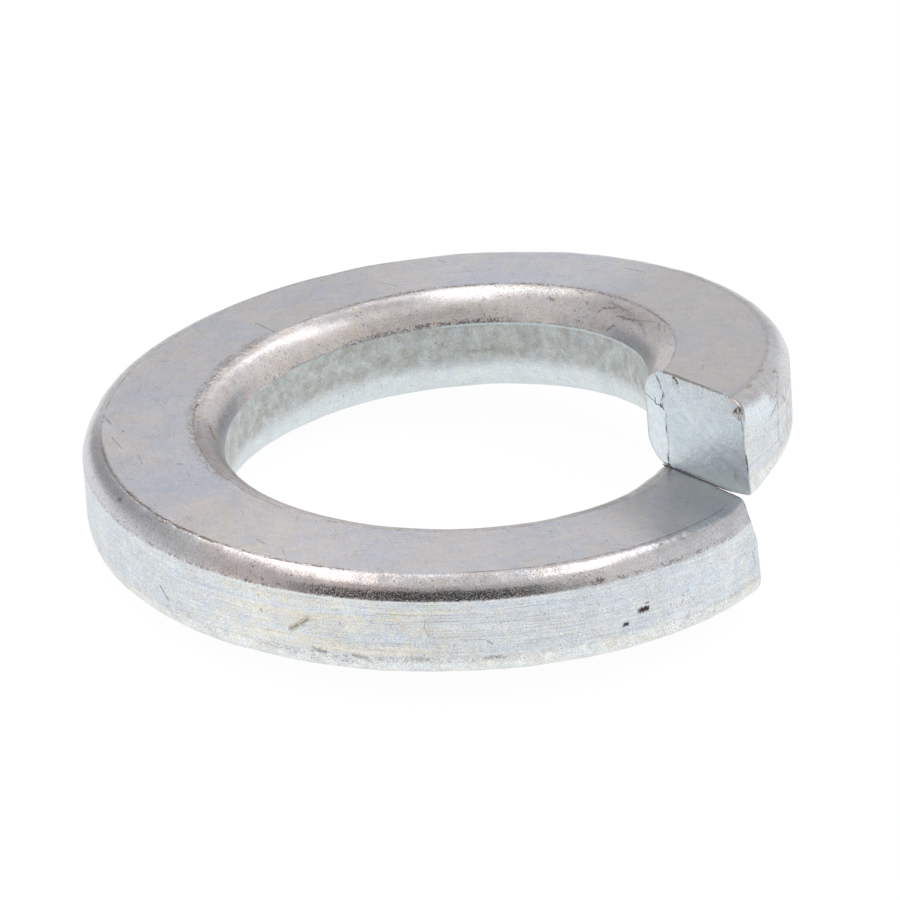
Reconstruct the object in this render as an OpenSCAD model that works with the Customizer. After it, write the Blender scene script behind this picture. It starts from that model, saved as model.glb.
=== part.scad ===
// Split (helical spring) lock washer, one coil of keystone wire with sheared ends.
// Millimetres. +Z is up along the bore axis, and the slit faces +X.

/* [Coil] */
// Diameter of the bore that the bolt passes through
bore_d = 14.4; // [12:0.1:20]
// How far the coil climbs in one full turn
rise = 3.68; // [3.4:0.02:8]
// Which way the coil climbs: a left-hand helix bites under a right-hand thread
hand = "left"; // [left, right]

/* [Wire] */
// Width of the wire, from the bore wall to the rim wall
wire_w = 4.8; // [4:0.1:8]
// Thickness of the wire at the middle of its width
wire_t = 3.6; // [3:0.1:4.5]
// How much thicker the wire is at the bore than at the rim
keystone = 0.3; // [0:0.02:0.6]
// Radius of the edge between the bore wall and the upper face
bore_top_round = 1.0; // [0.4:0.05:1.2]
// Radius of the edge between the rim wall and the upper face
rim_top_round = 0.7; // [0.3:0.05:1.0]
// Radius of the edge between the bore wall and the lower face
bore_bottom_round = 1.1; // [0.4:0.05:1.3]
// Radius of the edge between the rim wall and the lower face
rim_bottom_round = 0.8; // [0.3:0.05:1.0]

/* [Sheared ends] */
// Width of the slit between the two ends, seen from above
slit = 0.1; // [0.1:0.05:1.5]
// Angle between the shear line and the radius, seen from above
shear_skew = 27; // [0:1:35]
// How far the raised end's face leans out over the lower end, from upright
raised_lean = 4; // [0:1:12]
// How far the lower end's face leans back, from upright
lower_lean = 4; // [0:1:12]

/* [Fineness] */
// Steps along the coil
coil_steps = 120; // [60:6:150]
// Steps round each edge of the wire
round_steps = 5; // [3:1:6]

/* [Hidden] */
bore_r = bore_d / 2;
rim_r = bore_r + wire_w;
mid_r = bore_r + wire_w / 2;
face_slope = atan(keystone / 2 / wire_w);

// the swept blank stands proud of both walls, which the two cylinders then trim true
trim_stock = 0.5;
trim_reach = 0.6;

// the rings near each end turn gradually from radial to the line of the shear
fade = 42;
slit_line = -mid_r * sin(shear_skew);

// ---- section of the wire: [radius, height], height 0 at the lower face's middle ----

function arc(centre, radius, from, to) = [
    for (i = [0 : round_steps])
        let (a = from + (to - from) * i / round_steps)
        centre + radius * [cos(a), sin(a)]
];

// the arc's last facet runs on past the wall, so the trimming cylinder crosses it cleanly
function past_end(p) =
    let (n = len(p) - 1)
    [for (i = [0 : n]) i < n ? p[i] : p[n] + trim_reach * (p[n] - p[n - 1])];

function past_start(p) =
    let (n = len(p) - 1)
    [for (i = [0 : n]) i > 0 ? p[i] : p[0] + trim_reach * (p[0] - p[1])];

// height of the upper face's line at a radius; the lower face mirrors it
function top_at(r) = wire_t - (r - mid_r) * tan(face_slope);
function bottom_at(r) = wire_t - top_at(r);

function top_centre(r, radius) = [r, top_at(r) - radius / cos(face_slope)];
function bottom_centre(r, radius) = [r, bottom_at(r) + radius / cos(face_slope)];

bore_bottom = past_start(arc(
    bottom_centre(bore_r + bore_bottom_round, bore_bottom_round),
    bore_bottom_round, 180, 270 + face_slope));
rim_bottom = past_end(arc(
    bottom_centre(rim_r - rim_bottom_round, rim_bottom_round),
    rim_bottom_round, 270 + face_slope, 360));
rim_top = past_start(arc(
    top_centre(rim_r - rim_top_round, rim_top_round),
    rim_top_round, 0, 90 - face_slope));
bore_top = past_end(arc(
    top_centre(bore_r + bore_top_round, bore_top_round),
    bore_top_round, 90 - face_slope, 180));

section = concat(
    bore_bottom,
    rim_bottom,
    [[rim_r + trim_stock, rim_bottom[round_steps].y], [rim_r + trim_stock, rim_top[0].y]],
    rim_top,
    bore_top,
    [[bore_r - trim_stock, bore_top[round_steps].y], [bore_r - trim_stock, bore_bottom[0].y]]
);
points_per_ring = len(section);

// ---- the coil: t is the angle travelled along it from the slit ----

function climb(t) = rise * t / 360;

// the angle at which a section point meets a shear plane that stands `ahead` of the slit
// line and leans by `lean`, where the plane is measured at height `at`
function meet(p, ahead, lean, at, turns, t, tries = 6) =
    let (d = slit_line + ahead + tan(lean) * (p.y + climb(t) - at),
         met = 360 * turns + shear_skew + asin(d / p.x))
    tries == 0 ? met : meet(p, ahead, lean, at, turns, met, tries - 1);

function lower_end(p) = meet(p, slit / 2, lower_lean, wire_t, 0, 0);
function raised_end(p) = meet(p, -slit / 2, raised_lean, climb(360), 1, 360);

first_t = lower_end([mid_r, wire_t / 2]);
last_t = raised_end([mid_r, wire_t / 2]);

function share(t, end) = max(0, 1 - abs(t - end) / fade);

function station(p, i) =
    let (t = first_t + (last_t - first_t) * i / coil_steps)
    t + share(t, first_t) * (lower_end(p) - first_t)
      + share(t, last_t) * (raised_end(p) - last_t);

function place(p, t, base) = [p.x * cos(t), -p.x * sin(t), p.y + climb(t) - base];

// the washer's lowest point, on the lower end, is brought to Z = 0
lowest = min([for (p = section) if (p.x > bore_r && p.x < rim_r) p.y + climb(lower_end(p))]);

wire_centre = [mid_r, wire_t / 2];
coil_points = concat(
    [for (i = [0 : coil_steps], p = section) place(p, station(p, i), lowest)],
    [for (i = [0, coil_steps]) place(wire_centre, station(wire_centre, i), lowest)]
);

function corner(i, j) = i * points_per_ring + j % points_per_ring;

// each sheared face is a fan about the wire's centre, which lies in the same plane
lower_hub = (coil_steps + 1) * points_per_ring;
raised_hub = lower_hub + 1;

coil_faces = concat(
    [for (j = [0 : points_per_ring - 1])
        [lower_hub, corner(0, j), corner(0, j + 1)]],
    [for (i = [0 : coil_steps - 1], j = [0 : points_per_ring - 1], half = [0, 1])
        half == 0
            ? [corner(i, j), corner(i + 1, j), corner(i + 1, j + 1)]
            : [corner(i, j), corner(i + 1, j + 1), corner(i, j + 1)]],
    [for (j = [0 : points_per_ring - 1])
        [raised_hub, corner(coil_steps, j + 1), corner(coil_steps, j)]]
);

module coil_blank() {
    polyhedron(points = coil_points, faces = coil_faces, convexity = 6);
}

module trimmed_coil() {
    tall = 4 * (rise + wire_t);
    difference() {
        intersection() {
            coil_blank();
            translate([0, 0, -tall / 2])
                cylinder(r = rim_r, h = tall, $fn = 180);
        }
        translate([0, 0, -tall / 2])
            cylinder(r = bore_r, h = tall, $fn = 180);
    }
}

module split_lock_washer() {
    color("silver")
        if (hand == "left")
            trimmed_coil();
        else
            mirror([0, 1, 0])
                trimmed_coil();
}

split_lock_washer();
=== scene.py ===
"""Looks of a zinc-plated split lock washer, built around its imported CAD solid.

Sizes in the dataclasses are millimetres and degrees, as a maker would write them.
Everything that reaches Blender is in metres, in the frame of the CAD model: +Z along
the bore axis, the slit towards +X, the lowest point of the washer at Z = 0.
"""

import logging
import math
from dataclasses import dataclass
from enum import Enum
from typing import Sequence

import bpy
import numpy as np
from mathutils import Matrix, Vector


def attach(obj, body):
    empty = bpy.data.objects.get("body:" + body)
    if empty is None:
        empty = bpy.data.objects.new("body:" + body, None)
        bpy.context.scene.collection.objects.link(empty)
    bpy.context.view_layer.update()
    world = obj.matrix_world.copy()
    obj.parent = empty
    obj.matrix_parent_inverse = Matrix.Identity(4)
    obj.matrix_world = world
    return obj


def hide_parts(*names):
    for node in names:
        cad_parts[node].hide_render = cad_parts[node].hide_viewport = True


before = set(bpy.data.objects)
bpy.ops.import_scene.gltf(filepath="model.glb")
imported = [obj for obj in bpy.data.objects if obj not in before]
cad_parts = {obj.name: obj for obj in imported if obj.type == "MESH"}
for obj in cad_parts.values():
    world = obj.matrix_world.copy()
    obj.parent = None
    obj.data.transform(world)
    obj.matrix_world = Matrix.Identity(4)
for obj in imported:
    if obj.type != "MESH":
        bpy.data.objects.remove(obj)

NODE = "split_lock_washer"
BODY = "root"
MM = 0.001
CURVE_POINTS = 41
SHEARED_TUCK = 0.4  # rings that tuck in further than this are in a sheared face
SHEARED_SHARE = 0.6  # faces with more of such corners than this take the cut's finish
WELD = 2e-7  # metres
CUT_ROUNDS = 7  # enough for the angle of a cut to settle
ROUND_PULL = 0.5523  # share of the radius by which a curve's handles stand off, for a quarter circle
NOISE_MEAN = 0.5
# the same fade also ends the lines of painted glint
GRIME_SOFT = 3  # degrees over which a line of soil fades out

log = logging.getLogger("lock_washer")
Socket = bpy.types.NodeSocket
Tree = bpy.types.NodeTree
Mesh = bpy.types.Mesh
Material = bpy.types.Material
Thing = bpy.types.Object
Colour = tuple[float, float, float]

# tones of the soil and stains that more than one mark has
EARTH: Colour = (0.2, 0.15, 0.12)
RUST: Colour = (0.2, 0.12, 0.08)
TAR: Colour = (0.14, 0.1, 0.08)
DUST: Colour = (0.24, 0.2, 0.16)
UMBER: Colour = (0.16, 0.11, 0.08)
SHADOW: Colour = (0.22, 0.21, 0.23)
SOOT: Colour = (0.16, 0.12, 0.1)
PEAT: Colour = (0.18, 0.14, 0.12)
LOAM: Colour = (0.16, 0.13, 0.1)
SAND: Colour = (0.24, 0.22, 0.18)
CLAY: Colour = (0.3, 0.22, 0.19)
SALT: Colour = (0.8, 0.88, 0.93)
FAWN: Colour = (0.34, 0.27, 0.24)


class Lies(Enum):
    """The surface of the wire that a mark lies on."""

    TOP = "top"
    RIM = "rim"
    BORE = "bore"
    RIM_ROUND = "rim round"
    BORE_ROUND = "bore round"
    SHEAR = "shear"


# ---- node benches


class Bench:
    """Adds nodes to one tree and joins them, so that a formula reads left to right."""

    def __init__(self, tree: Tree) -> None:
        """Takes a shader or geometry node tree to work on."""
        self.tree = tree

    def join(self, value: object, socket: Socket) -> None:
        """Feeds a socket.

        Args:
            value: a socket to link to it, or its plain value.
            socket: the socket to feed.
        """
        if isinstance(value, Socket):
            self.tree.links.new(value, socket)
        else:
            socket.default_value = value

    def put(self, kind: str, inputs: dict | None = None, **settings: object) -> bpy.types.Node:
        """Adds one node.

        Args:
            kind: the node's type name.
            inputs: socket name or number to a value, or to a socket to join.
            **settings: properties of the node itself.

        Returns:
            The new node.
        """
        node = self.tree.nodes.new(kind)
        for name, value in settings.items():
            setattr(node, name, value)
        for name, value in (inputs or {}).items():
            self.join(value, node.inputs[name])
        return node

    def math(self, operation: str, a: object, b: object = 0.0) -> Socket:
        """Adds a Math node for an operation such as "SINE" and gives its result."""
        return self.put("ShaderNodeMath", {0: a, 1: b, 2: 0.0}, operation=operation).outputs[0]

    def chain(self, operation: str, parts: Sequence[object]) -> Socket:
        """Joins numbers and sockets by one operation, from left to right.

        Args:
            operation: the Math node's operation.
            parts: two or more numbers or sockets.

        Returns:
            The result socket.
        """
        result = parts[0]
        for part in parts[1:]:
            result = self.math(operation, result, part)
        return result

    def times(self, *parts: object) -> Socket:
        """Multiplies numbers and sockets."""
        return self.chain("MULTIPLY", parts)

    def plus(self, *parts: object) -> Socket:
        """Adds numbers and sockets."""
        return self.chain("ADD", parts)

    def most(self, *parts: object) -> Socket:
        """Takes the largest of numbers and sockets."""
        return self.chain("MAXIMUM", parts)

    def minus(self, a: object, b: object) -> Socket:
        """Takes b from a."""
        return self.math("SUBTRACT", a, b)

    def over(self, a: object, b: object) -> Socket:
        """Divides a by b."""
        return self.math("DIVIDE", a, b)

    def swing(self, value: Socket, gain: object) -> Socket:
        """Swings a noise value about zero, times gain."""
        return self.times(self.minus(value, NOISE_MEAN), gain)

    def vector(self, operation: str, a: object, b: object = (0.0, 0.0, 0.0), out: int = 0) -> Socket:
        """Adds a Vector Math node on a and b, and gives its vector (out 0) or its value (out 1)."""
        return self.put("ShaderNodeVectorMath", {0: a, 1: b}, operation=operation).outputs[out]

    def scaled(self, vector: object, by: object) -> Socket:
        """Multiplies a vector by a number or socket."""
        return self.put("ShaderNodeVectorMath", {0: vector, "Scale": by}, operation="SCALE").outputs[0]

    def parts(self, vector: object) -> bpy.types.bpy_prop_collection:
        """Splits a vector into its outputs X, Y and Z."""
        return self.put("ShaderNodeSeparateXYZ", {0: vector}).outputs

    def join_xyz(self, x: object = 0.0, y: object = 0.0, z: object = 0.0) -> Socket:
        """Makes a vector from three numbers or sockets."""
        return self.put("ShaderNodeCombineXYZ", {0: x, 1: y, 2: z}).outputs[0]

    def ease(self, value: object, low: object, high: object, start: object = 0.0,
             end: object = 1.0) -> Socket:
        """Maps value from low..high to start..end with a smooth step.

        Args:
            value: number or socket to map.
            low: value that gives start.
            high: value that gives end.
            start: result at and below low.
            end: result at and above high.

        Returns:
            The result socket.
        """
        inputs = {"Value": value, "From Min": low, "From Max": high, "To Min": start, "To Max": end}
        node = self.put("ShaderNodeMapRange", inputs, interpolation_type="SMOOTHSTEP")
        return node.outputs["Result"]

    def blend(self, share: object, a: object, b: object, how: str = "MIX") -> Socket:
        """Lays colour b over colour a by share; how is the Mix node's blend type."""
        a, b = (v if isinstance(v, Socket) else (*v, 1.0) for v in (a, b))
        return self.put("ShaderNodeMix", {0: share, 6: a, 7: b}, data_type="RGBA", blend_type=how).outputs[2]

    def coated(self, colour: object, *coats: tuple[object, object]) -> Socket:
        """Lays coats over a colour.

        Args:
            colour: colour or socket under them.
            *coats: (share, colour) of each, from the lowest up.

        Returns:
            The colour socket.
        """
        for share, coat in coats:
            colour = self.blend(share, colour, coat)
        return colour

    def number(self, share: object, a: object, b: object) -> Socket:
        """Mixes two numbers by share, from a to b."""
        return self.put("ShaderNodeMix", {0: share, 2: a, 3: b}, data_type="FLOAT").outputs[0]

    def noise(self, place: object, scale: object, detail: float = 3.0, rough: float = 0.55,
              warp: float = 0.0) -> Socket:
        """Reads noise, scale hills to a unit; detail and rough set its finer layers and warp bends it."""
        inputs = {"Vector": place, "Scale": scale, "Detail": detail, "Roughness": rough, "Distortion": warp}
        return self.put("ShaderNodeTexNoise", inputs).outputs["Fac"]

    def trace(self, value: Socket, points: Sequence[tuple[float, float]], wide: float, tall: float) -> Socket:
        """Reads a broken line at a value.

        Args:
            value: where to read it.
            points: (value, result) of each of its corners, in rising order.
            wide: largest value.
            tall: largest result.

        Returns:
            The result socket.
        """
        node = self.put("ShaderNodeFloatCurve", {"Value": self.math("DIVIDE", value, wide)})
        corners = node.mapping.curves[0].points
        while len(corners) < len(points):
            corners.new(0.5, 0.5)
        for corner, (x, y) in zip(corners, points):
            corner.location, corner.handle_type = (x / wide, y / tall), "VECTOR"
        node.mapping.update()
        return self.math("MULTIPLY", node.outputs[0], tall)

    def use(self, group: Tree, **inputs: object) -> bpy.types.bpy_prop_collection:
        """Places a node group.

        Args:
            group: the group.
            **inputs: input name to its value or socket.

        Returns:
            The outputs.
        """
        node = self.put("ShaderNodeGroup", node_tree=group)
        for name, value in inputs.items():
            self.join(value, node.inputs[name])
        return node.outputs


def new_group(name: str, inputs: dict[str, object], outputs: dict[str, object],
              kind: str = "ShaderNodeTree") -> tuple:
    """Starts a node group with named sockets.

    Args:
        name: the group's name.
        inputs: name of each input to its type or, for a number, its default.
        outputs: name of each output to the same.
        kind: the tree's type name.

    Returns:
        (bench, what the group is given, by name, what it has to be fed, by name).
    """
    tree = bpy.data.node_groups.new(name, kind)
    for way, sockets in (("INPUT", inputs), ("OUTPUT", outputs)):
        for label, sort in sockets.items():
            named = sort if isinstance(sort, str) else "Float"
            socket = tree.interface.new_socket(label, in_out=way, socket_type="NodeSocket" + named)
            if sort != named:
                socket.default_value = sort
    bench = Bench(tree)
    return bench, bench.put("NodeGroupInput").outputs, bench.put("NodeGroupOutput").inputs


def put_in_scene(name: str, data: bpy.types.ID) -> Thing:
    """Makes an object and links it to the scene.

    Args:
        name: its name.
        data: its mesh, lamp or camera.

    Returns:
        The object, at the origin.
    """
    thing = bpy.data.objects.new(name, data)
    bpy.context.scene.collection.objects.link(thing)
    return thing


# ---- the wire


def cubic(control: Sequence[np.ndarray], t: float | np.ndarray) -> np.ndarray:
    """Gives the point of a cubic curve at share t of its way, from its four control points."""
    a, b, c, d = control
    return (1 - t) ** 3 * a + 3 * t * (1 - t) ** 2 * b + 3 * t * t * (1 - t) * c + t ** 3 * d


@dataclass(frozen=True)
class WireSection:
    """Section of the keystone wire: [radius, height], with height 0 at the lower face's middle.

    rim_crease and bore_crease are the angles at which the rolled upper edges meet the walls;
    nick and seam are the short first steps of a flat beside an edge and beside the start;
    step is the distance from one point to the next.
    """

    bore_r: float = 7.2
    width: float = 4.8
    thickness: float = 3.6
    keystone: float = 0.3
    bore_top_round: float = 1.0
    rim_top_round: float = 0.7
    bore_bottom_round: float = 1.1
    rim_bottom_round: float = 0.8
    rim_crease: float = 18.0
    bore_crease: float = 7.0
    nick: float = 0.02
    seam: float = 0.004
    step: float = 0.112

    @property
    def rim_r(self) -> float:
        """Radius of the rim wall."""
        return self.bore_r + self.width

    @property
    def mid_r(self) -> float:
        """Radius of the wire's middle."""
        return self.bore_r + self.width / 2

    def top_at(self, r: float) -> float:
        """Height of the upper face's line at radius r; the lower face mirrors it."""
        return self.thickness - (r - self.mid_r) * self.keystone / 2 / self.width

    def edges(self) -> list[np.ndarray]:
        """The four rounded edges, anticlockwise from the underside.

        The rim's and the bore's upper edges are rolled: they meet the wall in a faint crease.

        Returns:
            Control points of one cubic curve for each edge: rim bottom, rim top, bore top, bore bottom.
        """
        slope = self.keystone / 2 / self.width

        def edge(wall: float, radius: float, top: bool, crease: float) -> np.ndarray:
            """Curve from the flat, at distance radius from the wall, to the wall.

            Args:
                wall: radius of the wall.
                radius: the edge's own radius.
                top: whether it is an upper edge.
                crease: degrees by which it meets the wall.

            Returns:
                The curve's four control points.
            """
            inward = 1.0 if wall < self.mid_r else -1.0
            down = -1.0 if top else 1.0
            flat_r = wall + inward * radius
            flat_z = self.top_at(flat_r) if top else self.thickness - self.top_at(flat_r)
            end = np.array([wall, flat_z + down * radius])
            lean = math.radians(crease)
            pull = ROUND_PULL * radius
            tilt = -slope if top else slope
            return np.array([
                [flat_r, flat_z], [flat_r - inward * pull, flat_z - inward * pull * tilt],
                end + pull * np.array([inward * math.sin(lean), -down * math.cos(lean)]), end])

        return [
            edge(self.rim_r, self.rim_bottom_round, False, 0.0),
            edge(self.rim_r, self.rim_top_round, True, self.rim_crease)[::-1],
            edge(self.bore_r, self.bore_top_round, True, self.bore_crease),
            edge(self.bore_r, self.bore_bottom_round, False, 0.0)[::-1],
        ]

    def outline(self) -> dict[str, np.ndarray]:
        """Walks once round the section from the middle of the underside towards the rim.

        Returns:
            Arrays "place" [radius, height], "normal", "around", the length walked, and
            "marks", the length walked at the start and end of each rounded edge.
        """
        places: list[np.ndarray] = []
        ends: list[int] = []
        start = here = np.array([self.mid_r, 0.0])

        def steps(length: float, least: int) -> int:
            """Number of even steps in a length."""
            return max(least, round(float(length) / self.step))

        for control in self.edges():
            count = steps(np.linalg.norm(control[0] - here), 2)
            share = np.linspace(0, 1, count + 1)
            if ends:
                share = np.insert(share, 1, self.nick / self.step / count)
                share = np.insert(share, -1, 1 - self.nick / self.step / count)
            places.extend((here + (control[0] - here) * share[:, None])[:-1])
            ends.append(len(places))
            t = np.linspace(0, 1, CURVE_POINTS)[:, None]
            curve = cubic(control, t)
            length = np.r_[0, np.linalg.norm(np.diff(curve, axis=0), axis=1).cumsum()]
            even = np.linspace(0, length[-1], steps(length[-1], 6) + 1)
            places.extend(np.stack([np.interp(even, length, curve[:, i]) for i in (0, 1)], 1)[:-1])
            ends.append(len(places))
            here = control[3]
        count = steps(np.linalg.norm(start - here), 2)
        share = np.insert(np.linspace(0, 1, count + 1), -1, 1 - self.seam / self.step / count)
        places.extend((here + (start - here) * share[:, None])[:-1])
        place = np.array(places)
        around = np.r_[0, np.linalg.norm(np.diff(place, axis=0), axis=1).cumsum()]
        ahead = np.roll(place, -1, 0) - np.roll(place, 1, 0)
        normal = np.stack([ahead[:, 1], -ahead[:, 0]], 1) / np.linalg.norm(ahead, axis=1)[:, None]
        return {"place": place, "normal": normal, "around": around, "marks": around[ends]}


@dataclass(frozen=True)
class ShearCut:
    """A flat face that the shear leaves across the wire.

    skew is its angle off the radius and lean its angle off the upright; ahead and level
    place it; turns counts the whole turns before it; edge is the radius of its edge.
    """

    skew: float
    lean: float
    ahead: float
    level: float
    turns: int
    edge: float

    def angle(self, section: WireSection, rise: float, r: np.ndarray, z: np.ndarray) -> np.ndarray:
        """Angle along the coil at which a line of the section meets the cut.

        Args:
            section: the wire's section.
            rise: climb of the coil in one turn.
            r: radii of the section's points.
            z: their heights.

        Returns:
            The angles in radians.
        """
        skew, lean = math.radians(self.skew), math.tan(math.radians(self.lean))
        line = -section.mid_r * math.sin(skew) + self.ahead
        met = np.full(len(r), math.tau * self.turns)
        for _ in range(CUT_ROUNDS):
            off = line + lean * (z + rise * met / math.tau - self.level)
            met = math.tau * self.turns + skew + np.arcsin(off / r)
        return met


@dataclass(frozen=True)
class Pull:
    """A place on the section that the shear dragged out of its true shape.

    at and by are [radius, height]; reach is how far round the section the drag is felt.
    """

    at: tuple[float, float]
    by: tuple[float, float]
    reach: float

    def on(self, place: np.ndarray) -> np.ndarray:
        """Gives the drag at each point of the section."""
        far = np.linalg.norm(place - np.array(self.at), axis=1)
        return np.exp(-(far / self.reach) ** 2)[:, None] * np.array(self.by)


@dataclass(frozen=True)
class Burr:
    """A burr that stands on the edge of the raised face.

    path holds [distance from the bore, height, stand-off from the face]; thick gives the
    burr's radius at each of its points; sides and stations count the faces round and along.
    """

    name: str
    path: tuple[tuple[float, float, float], ...]
    thick: tuple[float, ...]
    sides: int = 12
    stations: int = 34

    def build(self, coil: "SpringCoil", finish: Material) -> Thing:
        """Rolls the burr as a closed, tapering tube.

        Args:
            coil: the coil that it sits on.
            finish: its material.

        Returns:
            The burr, at the origin.
        """
        knots = np.array(self.path)
        share = np.linspace(0, 1, len(knots))
        fine = np.linspace(0, 1, self.stations)
        smooth = np.stack([smooth_curve(fine, share, knots[:, i]) for i in range(3)], 1)
        radius = smooth_curve(fine, share, np.array(self.thick))
        out = coil.face_normal()
        r, z = coil.section.bore_r + smooth[:, 0], smooth[:, 1]
        met = coil.raised.angle(coil.section, coil.rise, r, z)
        spine = np.array([coil.place(a, b, c) for a, b, c in zip(r, z, met)]) / MM + smooth[:, 2:] * out
        ahead = np.gradient(spine, axis=0)
        ahead /= np.linalg.norm(ahead, axis=1)[:, None]
        side = np.cross(ahead, out)
        side /= np.linalg.norm(side, axis=1)[:, None]
        lift = np.cross(side, ahead)
        a = np.linspace(0, math.tau, self.sides, endpoint=False)
        ring = side[:, None] * np.cos(a)[:, None] + lift[:, None] * np.sin(a)[:, None]
        ring = ring * radius[:, None, None]
        tube = (spine[:, None] + ring).reshape(-1, 3)
        n, m = self.stations, self.sides
        faces = [(i * m + j, i * m + (j + 1) % m, (i + 1) * m + (j + 1) % m, (i + 1) * m + j)
                 for i in range(n - 1) for j in range(m)]
        faces += [(j, n * m, (j + 1) % m) for j in range(m)]
        faces += [((n - 1) * m + (j + 1) % m, n * m + 1, (n - 1) * m + j) for j in range(m)]
        tips = [spine[0] - ahead[0] * radius[0], spine[-1] + ahead[-1] * radius[-1]]
        mesh = bpy.data.meshes.new(self.name)
        mesh.from_pydata(np.vstack([tube, tips]) * MM, [], faces)
        mesh.shade_smooth()
        mesh.materials.append(finish)
        face_outwards(mesh)
        return put_in_scene(self.name, mesh)


CURL = Burr(
    "burr_curl",
    ((4.02, 3.54, 0.01), (4.2, 3.57, 0.05), (4.4, 3.56, 0.08), (4.57, 3.46, 0.1), (4.65, 3.28, 0.11),
     (4.59, 3.11, 0.1), (4.43, 3.08, 0.1), (4.33, 3.19, 0.09), (4.42, 3.32, 0.04)),
    (0.015, 0.048, 0.058, 0.065, 0.07, 0.07, 0.066, 0.056, 0.02))
FLASH = Burr(
    "burr_flash",
    ((0.66, 0.03, 0.0), (0.8, -0.01, 0.01), (1.0, 0.0, 0.02), (1.15, -0.02, 0.01), (1.38, -0.04, 0.02),
     (1.62, -0.05, 0.03), (1.8, -0.05, 0.02), (2.0, -0.03, 0.02), (2.14, -0.03, 0.01), (2.36, -0.01, 0.0),
     (2.7, -0.02, 0.0), (3.05, -0.03, 0.0), (3.4, -0.03, 0.0), (3.75, -0.03, 0.0)),
    (0.012, 0.045, 0.025, 0.032, 0.045, 0.062, 0.055, 0.036, 0.026, 0.018, 0.02, 0.024, 0.022, 0.008), 8, 48)


@dataclass(frozen=True)
class ShearTear:
    """Faults of the making that stand in the surface itself.

    wave is the height of the soft dents; the lips are the drawn-out edges of the cuts;
    rim_pits holds (height, degrees along, half height, half length, depth) of each pit;
    crack_across and crack_height draw the crack of the raised face, beside which the strip
    next to the bore stands back by a step and turns away; yields is how far from the cut
    the wire's own surface gives way with it; face_pit is (across, height, radius).
    """

    wave: float = 0.014
    wave_gains: tuple[float, float] = (0.45, 0.35)
    lip: float = 0.055
    low_lip: float = 0.025
    lip_width: float = 0.09
    lip_rim_gain: float = 0.7
    rim_pits: tuple[tuple[float, ...], ...] = (
        (1.57, 33.0, 0.11, 0.2, 0.05), (1.23, 36.3, 0.09, 0.1, 0.04))
    crack_across: tuple[float, ...] = (0.93, 0.96, 0.97, 0.98, 0.9, 0.8, 0.84, 0.8, 0.68)
    crack_height: tuple[float, ...] = (0.15, 0.9, 1.5, 1.95, 2.2, 2.45, 2.75, 3.0, 3.35)
    crack_depth: float = 0.04
    crack_half_width: float = 0.05
    strip_step: float = 0.015
    strip_turn: float = 0.1
    yields: float = 0.9
    face_pit: tuple[float, float, float] = (1.53, 3.4, 0.09)
    face_pit_depth: float = 0.07
    grain: float = 0.01
    calm_edge: float = 0.04


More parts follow.
